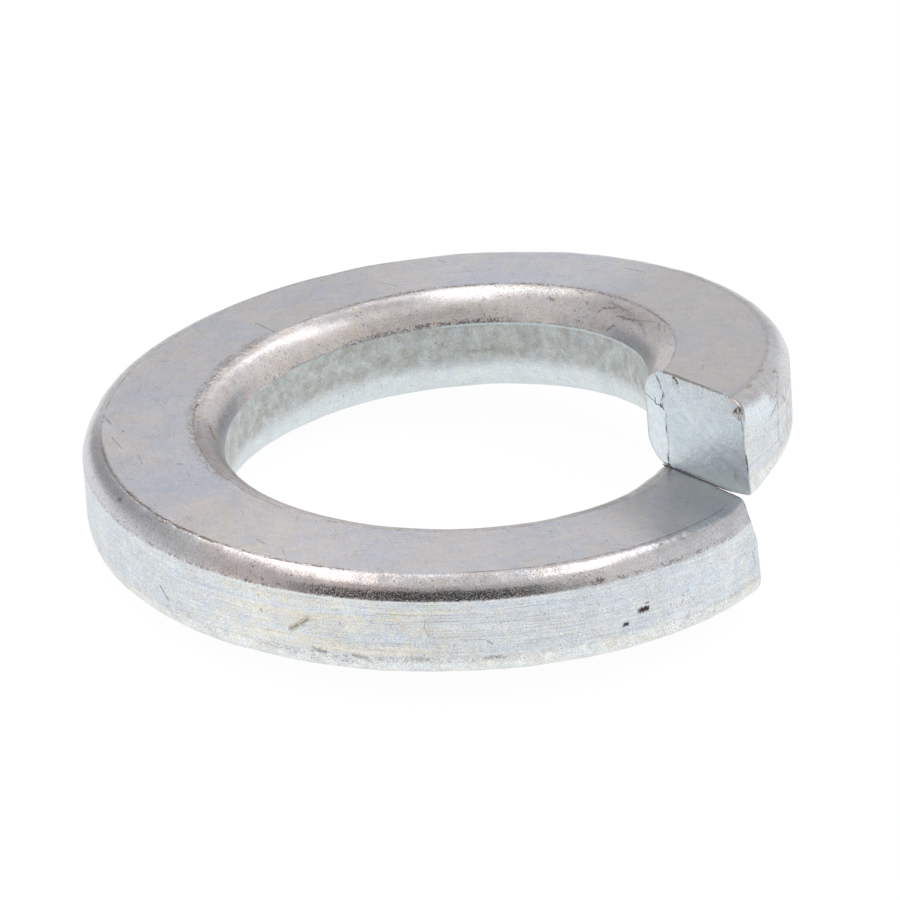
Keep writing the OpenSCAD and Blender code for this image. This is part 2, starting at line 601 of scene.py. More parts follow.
@dataclass
class SpringCoil:
    """The washer itself: one turn of keystone wire, sheared at both ends.

    rise is the climb of one turn; rows and gather_rows count the rings along the coil and in
    each sheared face, and gather_power and gather_last space the latter; fade is the stretch
    beside a cut over which the rings turn towards it, in degrees; the reaches are the
    stretches that the shear dragged.
    """

    section: WireSection = WireSection()
    rise: float = 3.68
    rows: int = 560
    gather_rows: int = 27
    gather_power: float = 1.25
    gather_last: float = 0.012
    fade: float = 42.0
    low: ShearCut = ShearCut(skew=27.0, lean=4.0, ahead=-0.03, level=3.6, turns=0, edge=0.03)
    raised: ShearCut = ShearCut(skew=27.0, lean=4.0, ahead=-0.05, level=3.68, turns=1, edge=0.03)
    low_pulls: tuple[Pull, ...] = (
        Pull((9.6, 3.6), (0.0, 0.06), 1.6), Pull((11.5, 3.5), (-0.03, 0.04), 0.45),
        Pull((7.5, 3.3), (0.1, -0.03), 0.4), Pull((11.95, 3.0), (-0.19, 0.0), 0.55))
    raised_pulls: tuple[Pull, ...] = (
        Pull((7.55, 3.4), (0.12, -0.07), 0.4), Pull((7.9, 3.58), (0.04, -0.06), 0.3),
        Pull((10.0, 3.6), (0.0, 0.035), 1.5), Pull((11.75, 3.45), (0.06, 0.07), 0.28),
        Pull((12.0, 2.0), (-0.19, 0.0), 0.95), Pull((12.0, 0.75), (-0.1, -0.03), 0.4),
        Pull((11.78, 0.22), (0.1, -0.13), 0.3), Pull((10.6, 0.0), (0.0, -0.045), 0.9),
        Pull((10.9, 0.0), (0.0, -0.035), 0.6), Pull((7.2, 1.8), (0.03, 0.0), 0.8))
    low_reach: float = 9.0
    raised_reach: float = 12.0
    tear: ShearTear = ShearTear()

    def __post_init__(self) -> None:
        """Walks the section once, and finds where its lowest point lies."""
        self.walk = self.section.outline()
        r, z = self.walk["place"].T
        self.low_met = self.low.angle(self.section, self.rise, r, z)
        self.raised_met = self.raised.angle(self.section, self.rise, r, z)
        centre = np.array([self.section.mid_r]), np.array([self.section.thickness / 2])
        self.first = float(self.low.angle(self.section, self.rise, *centre)[0])
        self.last = float(self.raised.angle(self.section, self.rise, *centre)[0])
        self.base = float((z + self.rise * self.low_met / math.tau).min())

    def place(self, r: float, z: float, t: float) -> Vector:
        """Gives the point at radius r, height z in the section and angle t along the coil, in metres."""
        return Vector((r * math.cos(t), -r * math.sin(t), z + self.rise * t / math.tau - self.base)) * MM

    def spot(self, on: Lies, first: float, second: float) -> tuple[float, ...]:
        """Place of a mark: in the row frame, or on the raised face itself; in millimetres.

        Args:
            on: the surface that it lies on.
            first: radius on TOP, height on RIM and BORE, share of the way from the wall up to
                the flat on the ROUNDs, distance from the bore on SHEAR.
            second: degrees along the coil, or the height on SHEAR.

        Returns:
            The place.
        """
        if on is Lies.SHEAR:
            return first, second, 0.0
        section = self.section
        if on is Lies.TOP:
            r, z = first, section.top_at(first)
        elif on is Lies.RIM_ROUND:
            r, z = cubic(section.edges()[1], first)
        elif on is Lies.BORE_ROUND:
            r, z = cubic(section.edges()[2][::-1], first)
        else:
            r, z = section.rim_r if on is Lies.RIM else section.bore_r, first
        return tuple(self.place(r, z, math.radians(second)) / MM)

    def face_normal(self) -> np.ndarray:
        """Finds the direction that the raised shear face looks in.

        Returns:
            The direction, of length one.
        """
        r = np.array([self.section.bore_r + 1, self.section.rim_r - 1, self.section.mid_r])
        z = np.array([1.0, 1.0, 3.0])
        met = self.raised.angle(self.section, self.rise, r, z)
        a, b, c = (np.array(self.place(*spot)) for spot in zip(r, z, met))
        across = np.cross(b - a, c - a)
        onward = np.array([-math.sin(self.last), -math.cos(self.last), 0.0])
        return across / np.linalg.norm(across) * np.sign(across @ onward)

    def section_mesh(self) -> Thing:
        """Makes the section as a loop of points that carry what the sweep needs.

        Returns:
            An object whose mesh is the loop, standing in X and Z.
        """
        place, normal = self.walk["place"], self.walk["normal"]
        mesh = bpy.data.meshes.new("wire_section")
        mesh.from_pydata([(r * MM, 0, z * MM) for r, z in place], [], [])
        store(mesh, "low_met", self.low_met)
        store(mesh, "raised_met", self.raised_met)
        store(mesh, "walked", self.walk["around"])
        store(mesh, "outward", np.insert(normal, 1, 0, axis=1))
        for name, pulls in (("low_pull", self.low_pulls), ("raised_pull", self.raised_pulls)):
            by = sum(pull.on(place) for pull in pulls) * MM
            store(mesh, name, np.insert(by, 1, 0, axis=1))
        return put_in_scene("wire_section", mesh)

    def stations(self) -> Thing:
        """Makes the row list of the sweep: where each ring of points stands.

        Each ring has its angle, "turn", and four shares. A ring in a sheared face gathers
        towards the wire's middle; a ring in an edge tucks in by a share of the edge's radius
        and stands back from the cut by another; raised is 1 at the raised end.

        Returns:
            An object with one vertex for each ring.
        """
        quarter = [math.radians(a) for a in (90, 60, 30)]
        gather = [1 - i / (self.gather_rows + 1) for i in range(self.gather_rows + 1)]
        gather = [g ** self.gather_power for g in gather] + [self.gather_last]
        step = (self.last - self.first) / self.rows
        table = [(self.first, 1.0, 0.0, g, 0.0) for g in gather]
        table += [(self.first, 1 - math.cos(a), 1 - math.sin(a), 0.0, 0.0) for a in quarter]
        table += [(self.first, 0.0, 1.0, 0.0, 0.0)]
        table += [(self.first + step * i, 0.0, 0.0, 0.0, 0.0) for i in range(1, self.rows)]
        table += [(self.last, 0.0, -1.0, 0.0, 1.0)]
        table += [(self.last, 1 - math.cos(a), math.sin(a) - 1, 0.0, 1.0) for a in quarter[::-1]]
        table += [(self.last, 1.0, 0.0, g, 1.0) for g in gather[::-1]]
        mesh = bpy.data.meshes.new("stations")
        mesh.from_pydata([(i * MM, 0, 0) for i in range(len(table))], [], [])
        for name, column in zip(("turn", "tuck", "back", "gather", "raised"), np.array(table).T):
            store(mesh, name, column)
        return put_in_scene("stations", mesh)

    def sweep_tree(self) -> Tree:
        """Builds the geometry tree that carries the section along the helix.

        Returns:
            The tree, which turns the section loop into the closed coil.
        """
        b, given, made = new_group(
            "helical sweep",
            {"Section": "Geometry", "Stations": "Object", "Rise": 0.00368, "First": 0.0, "Last": math.tau,
             "Fade": 0.7, "Low Reach": 0.2, "Raised Reach": 0.2, "Base": 0.0, "Low Edge": 0.0,
             "Raised Edge": 0.0, "Low Hub": "Vector", "Raised Hub": "Vector", "Middle": "Vector",
             "Wire": "Material", "Sheared": "Material"},
            {"Coil": "Geometry"}, "GeometryNodeTree")

        def count(geometry: Socket) -> Socket:
            """Counts the points of a mesh."""
            return b.put("GeometryNodeAttributeDomainSize", {"Geometry": geometry}).outputs["Point Count"]

        def whole(operation: str, one: Socket, other: object) -> Socket:
            """Reckons with whole numbers."""
            return b.put("FunctionNodeIntegerMath", {0: one, 1: other}, operation=operation).outputs[0]

        def sample(source: Socket, at: Socket, value: Socket, kind: str) -> Socket:
            """Reads a value of one point of the section or the stations."""
            inputs = {"Geometry": source, "Value": value, "Index": at}
            return b.put("GeometryNodeSampleIndex", inputs, data_type=kind).outputs[0]

        def read(source: Socket, at: Socket, name: str, kind: str = "FLOAT") -> Socket:
            """Reads a named value of one point of the section or the stations."""
            named = b.put("GeometryNodeInputNamedAttribute", {"Name": name}, data_type=kind).outputs[0]
            return sample(source, at, named, kind)

        ring = count(given["Section"])
        rows_in = b.put("GeometryNodeObjectInfo", {"Object": given["Stations"]}).outputs["Geometry"]
        rows = count(rows_in)
        seam = whole("ADD", ring, 1)
        grid = b.put("GeometryNodeMeshGrid", {"Vertices X": rows, "Vertices Y": seam})
        index = b.put("GeometryNodeInputIndex").outputs[0]
        row, column = whole("DIVIDE_FLOOR", index, seam), whole("MODULO", index, seam)
        around_at = whole("MODULO", column, ring)

        def of_section(name: str, kind: str = "FLOAT") -> Socket:
            """Reads a value of the section point in this column."""
            return read(given["Section"], around_at, name, kind)

        def mixed(share: Socket, one: Socket, other: Socket) -> Socket:
            """Mixes two vectors."""
            return b.put("ShaderNodeMix", {0: share, 4: one, 5: other}, data_type="VECTOR").outputs[1]

        def near(end: Socket) -> Socket:
            """Falls from 1 at an end of the coil to 0 where its rings stand radial."""
            away = b.over(b.math("ABSOLUTE", b.minus(turn, end)), given["Fade"])
            return b.most(b.minus(1.0, away), 0.0)

        turn, tuck, back, gather, raised = (
            read(rows_in, row, name) for name in ("turn", "tuck", "back", "gather", "raised"))
        edge = b.number(raised, given["Low Edge"], given["Raised Edge"])
        near_low, near_raised = near(given["First"]), near(given["Last"])
        pulled = [
            (b.ease(turn, b.plus(given["First"], given["Low Reach"]), given["First"]), "low_pull"),
            (b.ease(turn, b.minus(given["Last"], given["Raised Reach"]), given["Last"]), "raised_pull")]

        at_rest = b.put("GeometryNodeInputPosition").outputs[0]
        spot = sample(given["Section"], around_at, at_rest, "FLOAT_VECTOR")
        outward = of_section("outward", "FLOAT_VECTOR")
        inward = b.times(tuck, edge, -1.0)
        spot = b.vector("ADD", spot, b.vector("MULTIPLY", outward, b.join_xyz(inward, inward, inward)))
        for share, name in pulled:
            by = b.vector("MULTIPLY", of_section(name, "FLOAT_VECTOR"), b.join_xyz(share, share, share))
            spot = b.vector("ADD", spot, by)
        parts = b.parts(spot)
        r, z = parts["X"], parts["Z"]

        low_met, raised_met = of_section("low_met"), of_section("raised_met")
        t = b.plus(turn, b.times(near_low, b.minus(low_met, given["First"])))
        t = b.plus(t, b.times(near_raised, b.minus(raised_met, given["Last"])))
        t = b.plus(t, b.over(b.times(back, edge), r))
        climb = b.over(b.times(given["Rise"], t), math.tau)
        placed = b.join_xyz(
            b.times(r, b.math("COSINE", t)),
            b.times(r, b.math("SINE", t), -1.0),
            b.minus(b.plus(z, climb), given["Base"]))
        placed = mixed(gather, placed, mixed(raised, given["Low Hub"], given["Raised Hub"]))

        to_low, to_raised = b.minus(t, low_met), b.minus(raised_met, t)
        to_cut = b.over(b.times(b.math("MINIMUM", to_low, to_raised), r), MM)
        middle = b.parts(given["Middle"])
        across = b.over(b.number(gather, r, middle["X"]), MM)
        height = b.over(b.number(gather, z, middle["Z"]), MM)
        mesh = grid.outputs["Mesh"]
        for name, value in (
                ("along", b.over(b.times(t, middle["X"]), MM)), ("around", of_section("walked")),
                ("to_cut", to_cut), ("across", across), ("height", height), ("gather", gather),
                ("raised", raised), ("sheared", b.math("GREATER_THAN", tuck, SHEARED_TUCK))):
            inputs = {"Geometry": mesh, "Name": name, "Value": value}
            node = b.put("GeometryNodeStoreNamedAttribute", inputs, data_type="FLOAT", domain="POINT")
            mesh = node.outputs[0]
        cut = b.put("GeometryNodeInputNamedAttribute", {"Name": "sheared"}, data_type="FLOAT").outputs[0]
        for kind, inputs in (
                ("SetPosition", {"Position": placed}),
                ("MergeByDistance", {"Distance": WELD}),
                ("SetShadeSmooth", {}),
                ("RealizeInstances", {}),
                ("SetMaterial", {"Material": given["Wire"]}),
                ("SetMaterial", {"Material": given["Sheared"],
                                 "Selection": b.math("GREATER_THAN", cut, SHEARED_SHARE)})):
            mesh = b.put("GeometryNode" + kind, {"Geometry": mesh, **inputs}).outputs[0]
        b.join(mesh, made["Coil"])
        return b.tree

    def build(self, wire: Material, sheared: Material) -> Thing:
        """Sweeps the section into the finished coil.

        Args:
            wire: finish of the wire's own surface.
            sheared: finish of the two cut faces.

        Returns:
            The coil as one plain mesh object at the origin.
        """
        loop, rows = self.section_mesh(), self.stations()
        tree = self.sweep_tree()
        sweep = loop.modifiers.new("sweep", "NODES")
        sweep.node_group = tree
        middle = self.section.mid_r, self.section.thickness / 2
        values = {
            "Stations": rows, "Rise": self.rise * MM, "First": self.first, "Last": self.last,
            "Fade": math.radians(self.fade), "Low Reach": math.radians(self.low_reach),
            "Raised Reach": math.radians(self.raised_reach),
            "Base": self.base * MM, "Low Edge": self.low.edge * MM, "Raised Edge": self.raised.edge * MM,
            "Low Hub": tuple(self.place(*middle, self.first)),
            "Raised Hub": tuple(self.place(*middle, self.last)),
            "Middle": (middle[0] * MM, 0.0, middle[1] * MM), "Wire": wire, "Sheared": sheared,
        }
        for socket in tree.interface.items_tree:
            if socket.item_type == "SOCKET" and socket.in_out == "INPUT" and socket.name in values:
                sweep[socket.identifier] = values[socket.name]
        view = bpy.context.evaluated_depsgraph_get()
        mesh = bpy.data.meshes.new_from_object(loop.evaluated_get(view))
        mesh.name = "coil"
        loop.modifiers.clear()
        for spare in (loop, rows):
            bpy.data.objects.remove(spare)
        keep_filled_slots(mesh)
        self.dress(mesh)
        face_outwards(mesh)
        return put_in_scene("spring_coil", mesh)

    def dress(self, mesh: Mesh) -> None:
        """Works the small faults of the making into the swept surface.

        Args:
            mesh: the coil's mesh, whose points are moved.
        """
        tear, section = self.tear, self.section
        places = places_of(mesh) / MM
        along, around, to_cut, gather, raised, radius, height = (numbers_of(mesh, name) for name in (
            "along", "around", "to_cut", "gather", "raised", "across", "height"))
        t = along / section.mid_r
        normal = [np.interp(around, self.walk["around"], self.walk["normal"][:, i]) for i in (0, 1)]
        outward = np.stack([normal[0] * np.cos(t), -normal[0] * np.sin(t), normal[1]], 1)
        skin, up = gather <= 0, normal[1]
        across = radius - section.bore_r

        # soft dents, deepest on the rounded edges
        marks = self.walk["marks"]
        near_round = sum(
            np.clip(1.3 - np.abs(around - (first + last) / 2) / (last - first) * 1.6, 0, 1)
            for first, last in marks.reshape(4, 2))
        fine_gain, flat_gain = tear.wave_gains
        by = skin * (0.3 + near_round) * (
            tear.wave * soft_random(places, 1.3, 11) + tear.wave * fine_gain * soft_random(places, 0.4, 12))
        by = by + skin * tear.wave * flat_gain * soft_random(places, 2.4, 13)

        # the lip that the blade left along the upper edges of the cuts
        ragged = 0.55 + 0.6 * soft_random(places, 0.22, 21) + 0.35 * soft_random(places, 0.7, 22)
        at_edge = skin * np.clip(1 - to_cut / tear.lip_width, 0, 1) * np.clip(ragged, 0, 1.4)
        on_top = np.clip(up * 2 - 0.3, 0, 1)
        on_rim = np.clip((radius - section.mid_r) / 1.0, 0, 1) * (height > 0.6)
        by = by + raised * at_edge * tear.lip * (on_top + tear.lip_rim_gain * on_rim)
        by = by + (1 - raised) * at_edge * tear.low_lip * on_top

        # pits in the rim wall
        for z, degrees, tall, long, depth in tear.rim_pits:
            far = ((height - z) / tall) ** 2 + ((t - math.radians(degrees)) * section.rim_r / long) ** 2
            by = by - skin * (radius > section.rim_r - 0.3) * depth * np.exp(-far)
        places = places + by[:, None] * outward

        # the torn strip, the crack and the pit of the raised face
        away = across - np.interp(height, tear.crack_height, tear.crack_across)
        set_back = np.where(away < 0, -tear.strip_step + tear.strip_turn * away, 0.0)
        relief = -tear.crack_depth * np.exp(-(away / tear.crack_half_width) ** 2)
        pit_across, pit_height, pit_r = tear.face_pit
        pit = ((across - pit_across) ** 2 + (height - pit_height) ** 2) / pit_r ** 2
        relief = relief - tear.face_pit_depth * np.exp(-pit)
        rough = tear.grain * (soft_random(places, 0.6, 31) + 0.5 * soft_random(places, 0.2, 32))
        inner = np.clip(gather / tear.calm_edge, 0, 1)
        upper = t > math.pi
        face = (~skin) * (raised * (set_back + relief * inner) + rough * inner)
        yielding = skin * upper * np.clip(1 - to_cut / tear.yields, 0, 1) * set_back
        sign = np.where(upper, 1.0, -1.0)
        places = places + ((face + yielding) * sign)[:, None] * self.face_normal()
        mesh.vertices.foreach_set("co", (places * MM).astype(np.float32).ravel())
        mesh.update()


def store(mesh: Mesh, name: str, values: np.ndarray) -> None:
    """Stores one number, or one vector, for each vertex under a name."""
    kind, field = ("FLOAT", "value") if values.ndim == 1 else ("FLOAT_VECTOR", "vector")
    mesh.attributes.new(name, kind, "POINT").data.foreach_set(field, values.astype(np.float32).ravel())


def numbers_of(mesh: Mesh, name: str) -> np.ndarray:
    """Reads back what the sweep stored.

    Args:
        mesh: the mesh.
        name: the name that it is stored under.

    Returns:
        One number for each vertex.
    """
    values = np.zeros(len(mesh.vertices), np.float32)
    mesh.attributes[name].data.foreach_get("value", values)
    return values.astype(float)


def places_of(mesh: Mesh) -> np.ndarray:
    """Reads the places of the vertices.

    Args:
        mesh: the mesh.

    Returns:
        One row for each vertex.
    """
    values = np.zeros(len(mesh.vertices) * 3, np.float32)
    mesh.vertices.foreach_get("co", values)
    return values.reshape(-1, 3).astype(float)


def soft_random(places: np.ndarray, size: float, seed: int) -> np.ndarray:
    """Smooth random hills and hollows of one size, from -1 to 1, the same on every run.

    Args:
        places: where to read them, one row each.
        size: distance from one hill to the next, in the places' own unit.
        seed: number of the landscape.

    Returns:
        One height for each place.
    """
    count = 32
    table = np.random.default_rng(seed).uniform(-1, 1, (count, count, count))
    at = places / size
    low = np.floor(at).astype(int)
    share = at - low
    share = share * share * (3 - 2 * share)
    total = np.zeros(len(places))
    for corner in np.ndindex(2, 2, 2):
        weight = np.prod(np.where(np.array(corner), share, 1 - share), axis=1)
        x, y, z = ((low + np.array(corner)) % count).T
        total += weight * table[x, y, z]
    return total


def smooth_curve(fine: np.ndarray, share: np.ndarray, knots: np.ndarray) -> np.ndarray:
    """Rounds a broken line through its knots, by averaging over a fine walk.

    Args:
        fine: shares of the way at which the line is wanted.
        share: shares of the way at which the knots stand.
        knots: the values there.

    Returns:
        The value at each fine share.
    """
    line = np.interp(fine, share, knots)
    for _ in range(3):
        line = np.r_[line[:1], (line[:-2] + 2 * line[1:-1] + line[2:]) / 4, line[-1:]]
    return line


def keep_filled_slots(mesh: Mesh) -> None:
    """Drops the empty material slots that the sweep leaves behind.

    Args:
        mesh: the mesh, whose faces keep their materials.
    """
    old = list(mesh.materials)
    kept = [finish for finish in old if finish]
    index = np.zeros(len(mesh.polygons), np.int32)
    mesh.polygons.foreach_get("material_index", index)
    moved = np.array([kept.index(finish) if finish else 0 for finish in old], np.int32)
    mesh.materials.clear()
    for finish in kept:
        mesh.materials.append(finish)
    mesh.polygons.foreach_set("material_index", moved[index])


def face_outwards(mesh: Mesh) -> None:
    """Turns a closed mesh right side out by the sign of its volume.

    Args:
        mesh: the mesh.
    """
    places = places_of(mesh)
    mesh.calc_loop_triangles()
    corners = np.zeros(len(mesh.loop_triangles) * 3, np.int32)
    mesh.loop_triangles.foreach_get("vertices", corners)
    a, b, c = (places[corners.reshape(-1, 3)[:, i]] for i in range(3))
    volume = float((a * np.cross(b, c)).sum() / 6)
    if volume < 0:
        mesh.flip_normals()
    log.info("closed volume %.1f cubic mm", abs(volume) / MM ** 3)


# ---- surface effects


class Effects:
    """Shader node groups that the finishes share; each is built once."""

    def __init__(self) -> None:
        """Builds every group."""
        self.band = self.make_band()
        self.bloom = self.make_bloom()
        self.grain = self.make_grain()
        self.pitting = self.make_pitting()
        self.scratch = self.make_scratch()
        self.soil_and_glint_line = self.make_soil_and_glint_line()
        self.hairlines = self.make_hairlines()
        self.mottle = self.make_mottle()

    def make_band(self) -> Tree:
        """Makes the mask of a strip that runs along the wire.

        Returns:
            The group.
        """
        b, given, made = new_group(
            "strip of the wire", {"Around": 0.0, "From": 0.0, "To": 0.0, "Soft": 0.04}, {"Mask": 0.0})
        at, soft = given["Around"], given["Soft"]
        enter = b.ease(at, b.minus(given["From"], soft), b.plus(given["From"], soft))
        leave = b.ease(at, b.minus(given["To"], soft), b.plus(given["To"], soft), 1.0, 0.0)
        b.join(b.times(enter, leave), made["Mask"])
        return b.tree

    def make_bloom(self) -> Tree:
        """Makes the soft clouds of tint that the passivating bath leaves in zinc.

        Returns:
            A group with a cool and a warm mask, and a plain cloud.
        """
        b, given, made = new_group(
            "chromate bloom", {"Place": "Vector", "Size": 3.0, "Shift": 0.0},
            {"Cool": 0.0, "Warm": 0.0, "Cloud": 0.0})
        at = b.scaled(given["Place"], b.over(1.0, given["Size"]))
        at = b.vector("ADD", at, b.join_xyz(given["Shift"], given["Shift"], 0.0))
        b.join(b.ease(b.noise(at, 1.0, 3.0, 0.6, 0.6), 0.42, 0.66), made["Cool"])
        other = b.vector("ADD", at, (7.3, 2.1, 4.4))
        b.join(b.ease(b.noise(other, 1.2, 3.0, 0.6, 0.4), 0.45, 0.7), made["Warm"])
        third = b.vector("ADD", at, (1.7, 9.2, 3.8))
        b.join(b.noise(third, 3.0, 5.0, 0.65), made["Cloud"])
        return b.tree

    def make_grain(self) -> Tree:
        """Makes the fine lines that the drawing die leaves along the wire.

        Returns:
            A group with fine lines and wide ones, as noise values.
        """
        b, given, made = new_group(
            "drawn lines", {"Along": 0.0, "Around": 0.0, "Fine": 9.0, "Long": 0.35},
            {"Lines": 0.0, "Wide": 0.0})
        along, around = given["Along"], given["Around"]
        wave = b.noise(b.join_xyz(b.times(along, 0.3), around, 0.0), 0.6, 1.0)
        side = b.plus(around, b.times(wave, 0.25))
        at = b.join_xyz(b.times(along, given["Long"]), b.times(side, given["Fine"]), 0.0)
        b.join(b.noise(at, 1.0, 4.0, 0.75), made["Lines"])
        wide = b.join_xyz(b.times(along, 0.1), b.times(side, 2.2), 3.0)
        b.join(b.noise(wide, 1.0, 2.0, 0.6), made["Wide"])
        return b.tree

    def make_pitting(self) -> Tree:
        """Makes scattered pits and specks, thicker in some patches than in others.

        Returns:
            A group with their mask.
        """
        b, given, made = new_group(
            "pits and specks", {"Place": "Vector", "Size": 0.12, "Amount": 0.3}, {"Pits": 0.0})
        at = b.scaled(given["Place"], b.over(1.0, given["Size"]))
        fine = b.noise(at, 1.0, 2.0, 0.5)
        patch = b.noise(b.vector("ADD", given["Place"], (3.1, 0.4, 8.8)), 0.9, 2.0, 0.6)
        gate = b.minus(0.86, b.times(given["Amount"], patch, 0.72))
        b.join(b.ease(fine, gate, b.plus(gate, 0.05)), made["Pits"])
        return b.tree

    def make_scratch(self) -> Tree:
        """Makes the mask of one ragged scratch from a start to an end.

        Returns:
            The group.
        """
        b, given, made = new_group(
            "scratch", {"Place": "Vector", "Start": "Vector", "End": "Vector", "Width": 0.05, "Fray": 0.0},
            {"Mark": 0.0})
        run = b.vector("SUBTRACT", given["End"], given["Start"])
        away = b.vector("SUBTRACT", given["Place"], given["Start"])
        share = b.over(b.vector("DOT_PRODUCT", away, run, 1), b.vector("DOT_PRODUCT", run, run, 1))
        share = b.math("MINIMUM", b.most(share, 0.0), 1.0)
        far = b.vector("LENGTH", b.vector("SUBTRACT", away, b.scaled(run, share)), out=1)
        far = b.plus(far, given["Fray"])
        b.join(b.ease(far, b.times(given["Width"], 0.3), given["Width"], 1.0, 0.0), made["Mark"])
        return b.tree

    def make_hairlines(self) -> Tree:
        """Makes short hair-thin scratches that lie two ways, from handling in bulk.

        Returns:
            A group with their mask.
        """
        b, given, made = new_group("handling scratches", {"Place": "Vector", "Amount": 0.5}, {"Mark": 0.0})
        x, y, z = b.parts(given["Place"])
        total: Socket | float = 0.0
        for number, degrees in enumerate((24.0, 118.0)):
            c, d = math.cos(math.radians(degrees)), math.sin(math.radians(degrees))
            length = b.plus(b.times(x, c), b.times(y, d))
            across = b.minus(b.times(y, c), b.times(x, d))
            bend = b.times(b.math("SINE", b.times(length, 1.3 + 0.4 * number)), 0.1)
            at = b.join_xyz(b.times(length, 0.9), b.times(b.plus(across, bend), 15.0),
                            b.plus(z, 7.0 * number))
            gate = b.minus(0.8, b.times(given["Amount"], 0.16))
            line = b.ease(b.noise(at, 1.0, 1.0, 0.5), gate, b.plus(gate, 0.1))
            total = b.most(total, line)
        b.join(total, made["Mark"])
        return b.tree

    def make_mottle(self) -> Tree:
        """Makes uneven tone and tint of one size.

        Returns:
            A group with a colour to multiply by, and the tone alone.
        """
        b, given, made = new_group(
            "mottle", {"Place": "Vector", "Size": 0.1, "Grey": 0.3, "Tint": 0.1},
            {"Factor": "Color", "Tone": 0.0})
        scale = b.over(1.0, given["Size"])
        tone = b.noise(given["Place"], scale, 2.0, 0.65)
        grey = b.plus(1.0, b.swing(tone, given["Grey"]))
        warm = b.noise(b.vector("ADD", given["Place"], (2.0, 7.0, 4.0)), scale, 1.0, 0.5)
        warm = b.swing(warm, given["Tint"])
        tint = b.join_xyz(warm, b.times(warm, 0.15), b.times(warm, -1.0))
        b.join(b.vector("ADD", b.join_xyz(grey, grey, grey), tint), made["Factor"])
        b.join(tone, made["Tone"])
        return b.tree

    def make_soil_and_glint_line(self) -> Tree:
        """Makes the mask of a thin broken line, of soil or of a painted glint, in a crease or along an edge.

        Returns:
            The group.
        """
        b, given, made = new_group(
            "soiled line", {"Away": 0.0, "Width": 0.05, "Fray": 0.0, "Gaps": 0.0, "Broken": 0.5},
            {"Mask": 0.0})
        far = b.plus(b.math("ABSOLUTE", given["Away"]), given["Fray"])
        line = b.ease(far, b.times(given["Width"], 0.25), given["Width"], 1.0, 0.0)
        gaps = b.ease(given["Gaps"], given["Broken"], b.plus(given["Broken"], 0.14))
        b.join(b.times(line, gaps), made["Mask"])
        return b.tree


@dataclass(frozen=True)
class Scratch:
    """A mark on the wire, from one place to another.

    On TOP a place is (radius, degrees along the coil); on RIM and BORE it is (height in the
    section, degrees along); on SHEAR it is (distance from the bore, height) on the raised face.
    strength is how much of tone shows; deep is how much the mark roughens the surface, and on the wire how
    much it dulls the metal.
    """

    on: Lies
    start: tuple[float, float]
    end: tuple[float, float]
    width: float = 0.05
    strength: float = 0.6
    ragged: float = 0.4
    tone: Colour = (0.1, 0.09, 0.085)
    deep: float = 1.0


def marks_on(on: Lies, *rows: tuple) -> tuple[Scratch, ...]:
    """Lists marks of one surface; each row holds its two places, width, strength and so on."""
    return tuple(Scratch(on, row[:2], row[2:4], *row[4:]) for row in rows)


@dataclass(frozen=True)
class GrimeAndGlint:
    """Soil, a darker band, or a painted glint, beside one boundary of the section over a stretch of the coil.

    edge counts the boundaries between flats, walls and rounds, anticlockwise from the
    underside; shift moves off it the same way; first and last are degrees along the coil.
    Specks break it into crumbs.
    """

    edge: int
    first: float
    last: float
    shift: float = 0.0
    width: float = 0.06
    share: float = 0.45
    broken: float = 0.36
    ragged: float = 0.14
    tone: Colour = (0.09, 0.075, 0.065)
    specks: bool = False


@dataclass(frozen=True)
class Stretch:
    """A stretch of the coil with soft ends, in degrees along it, and how much it counts."""

    first: float
    last: float
    soft: float
    share: float = 1.0


# ---- finishes


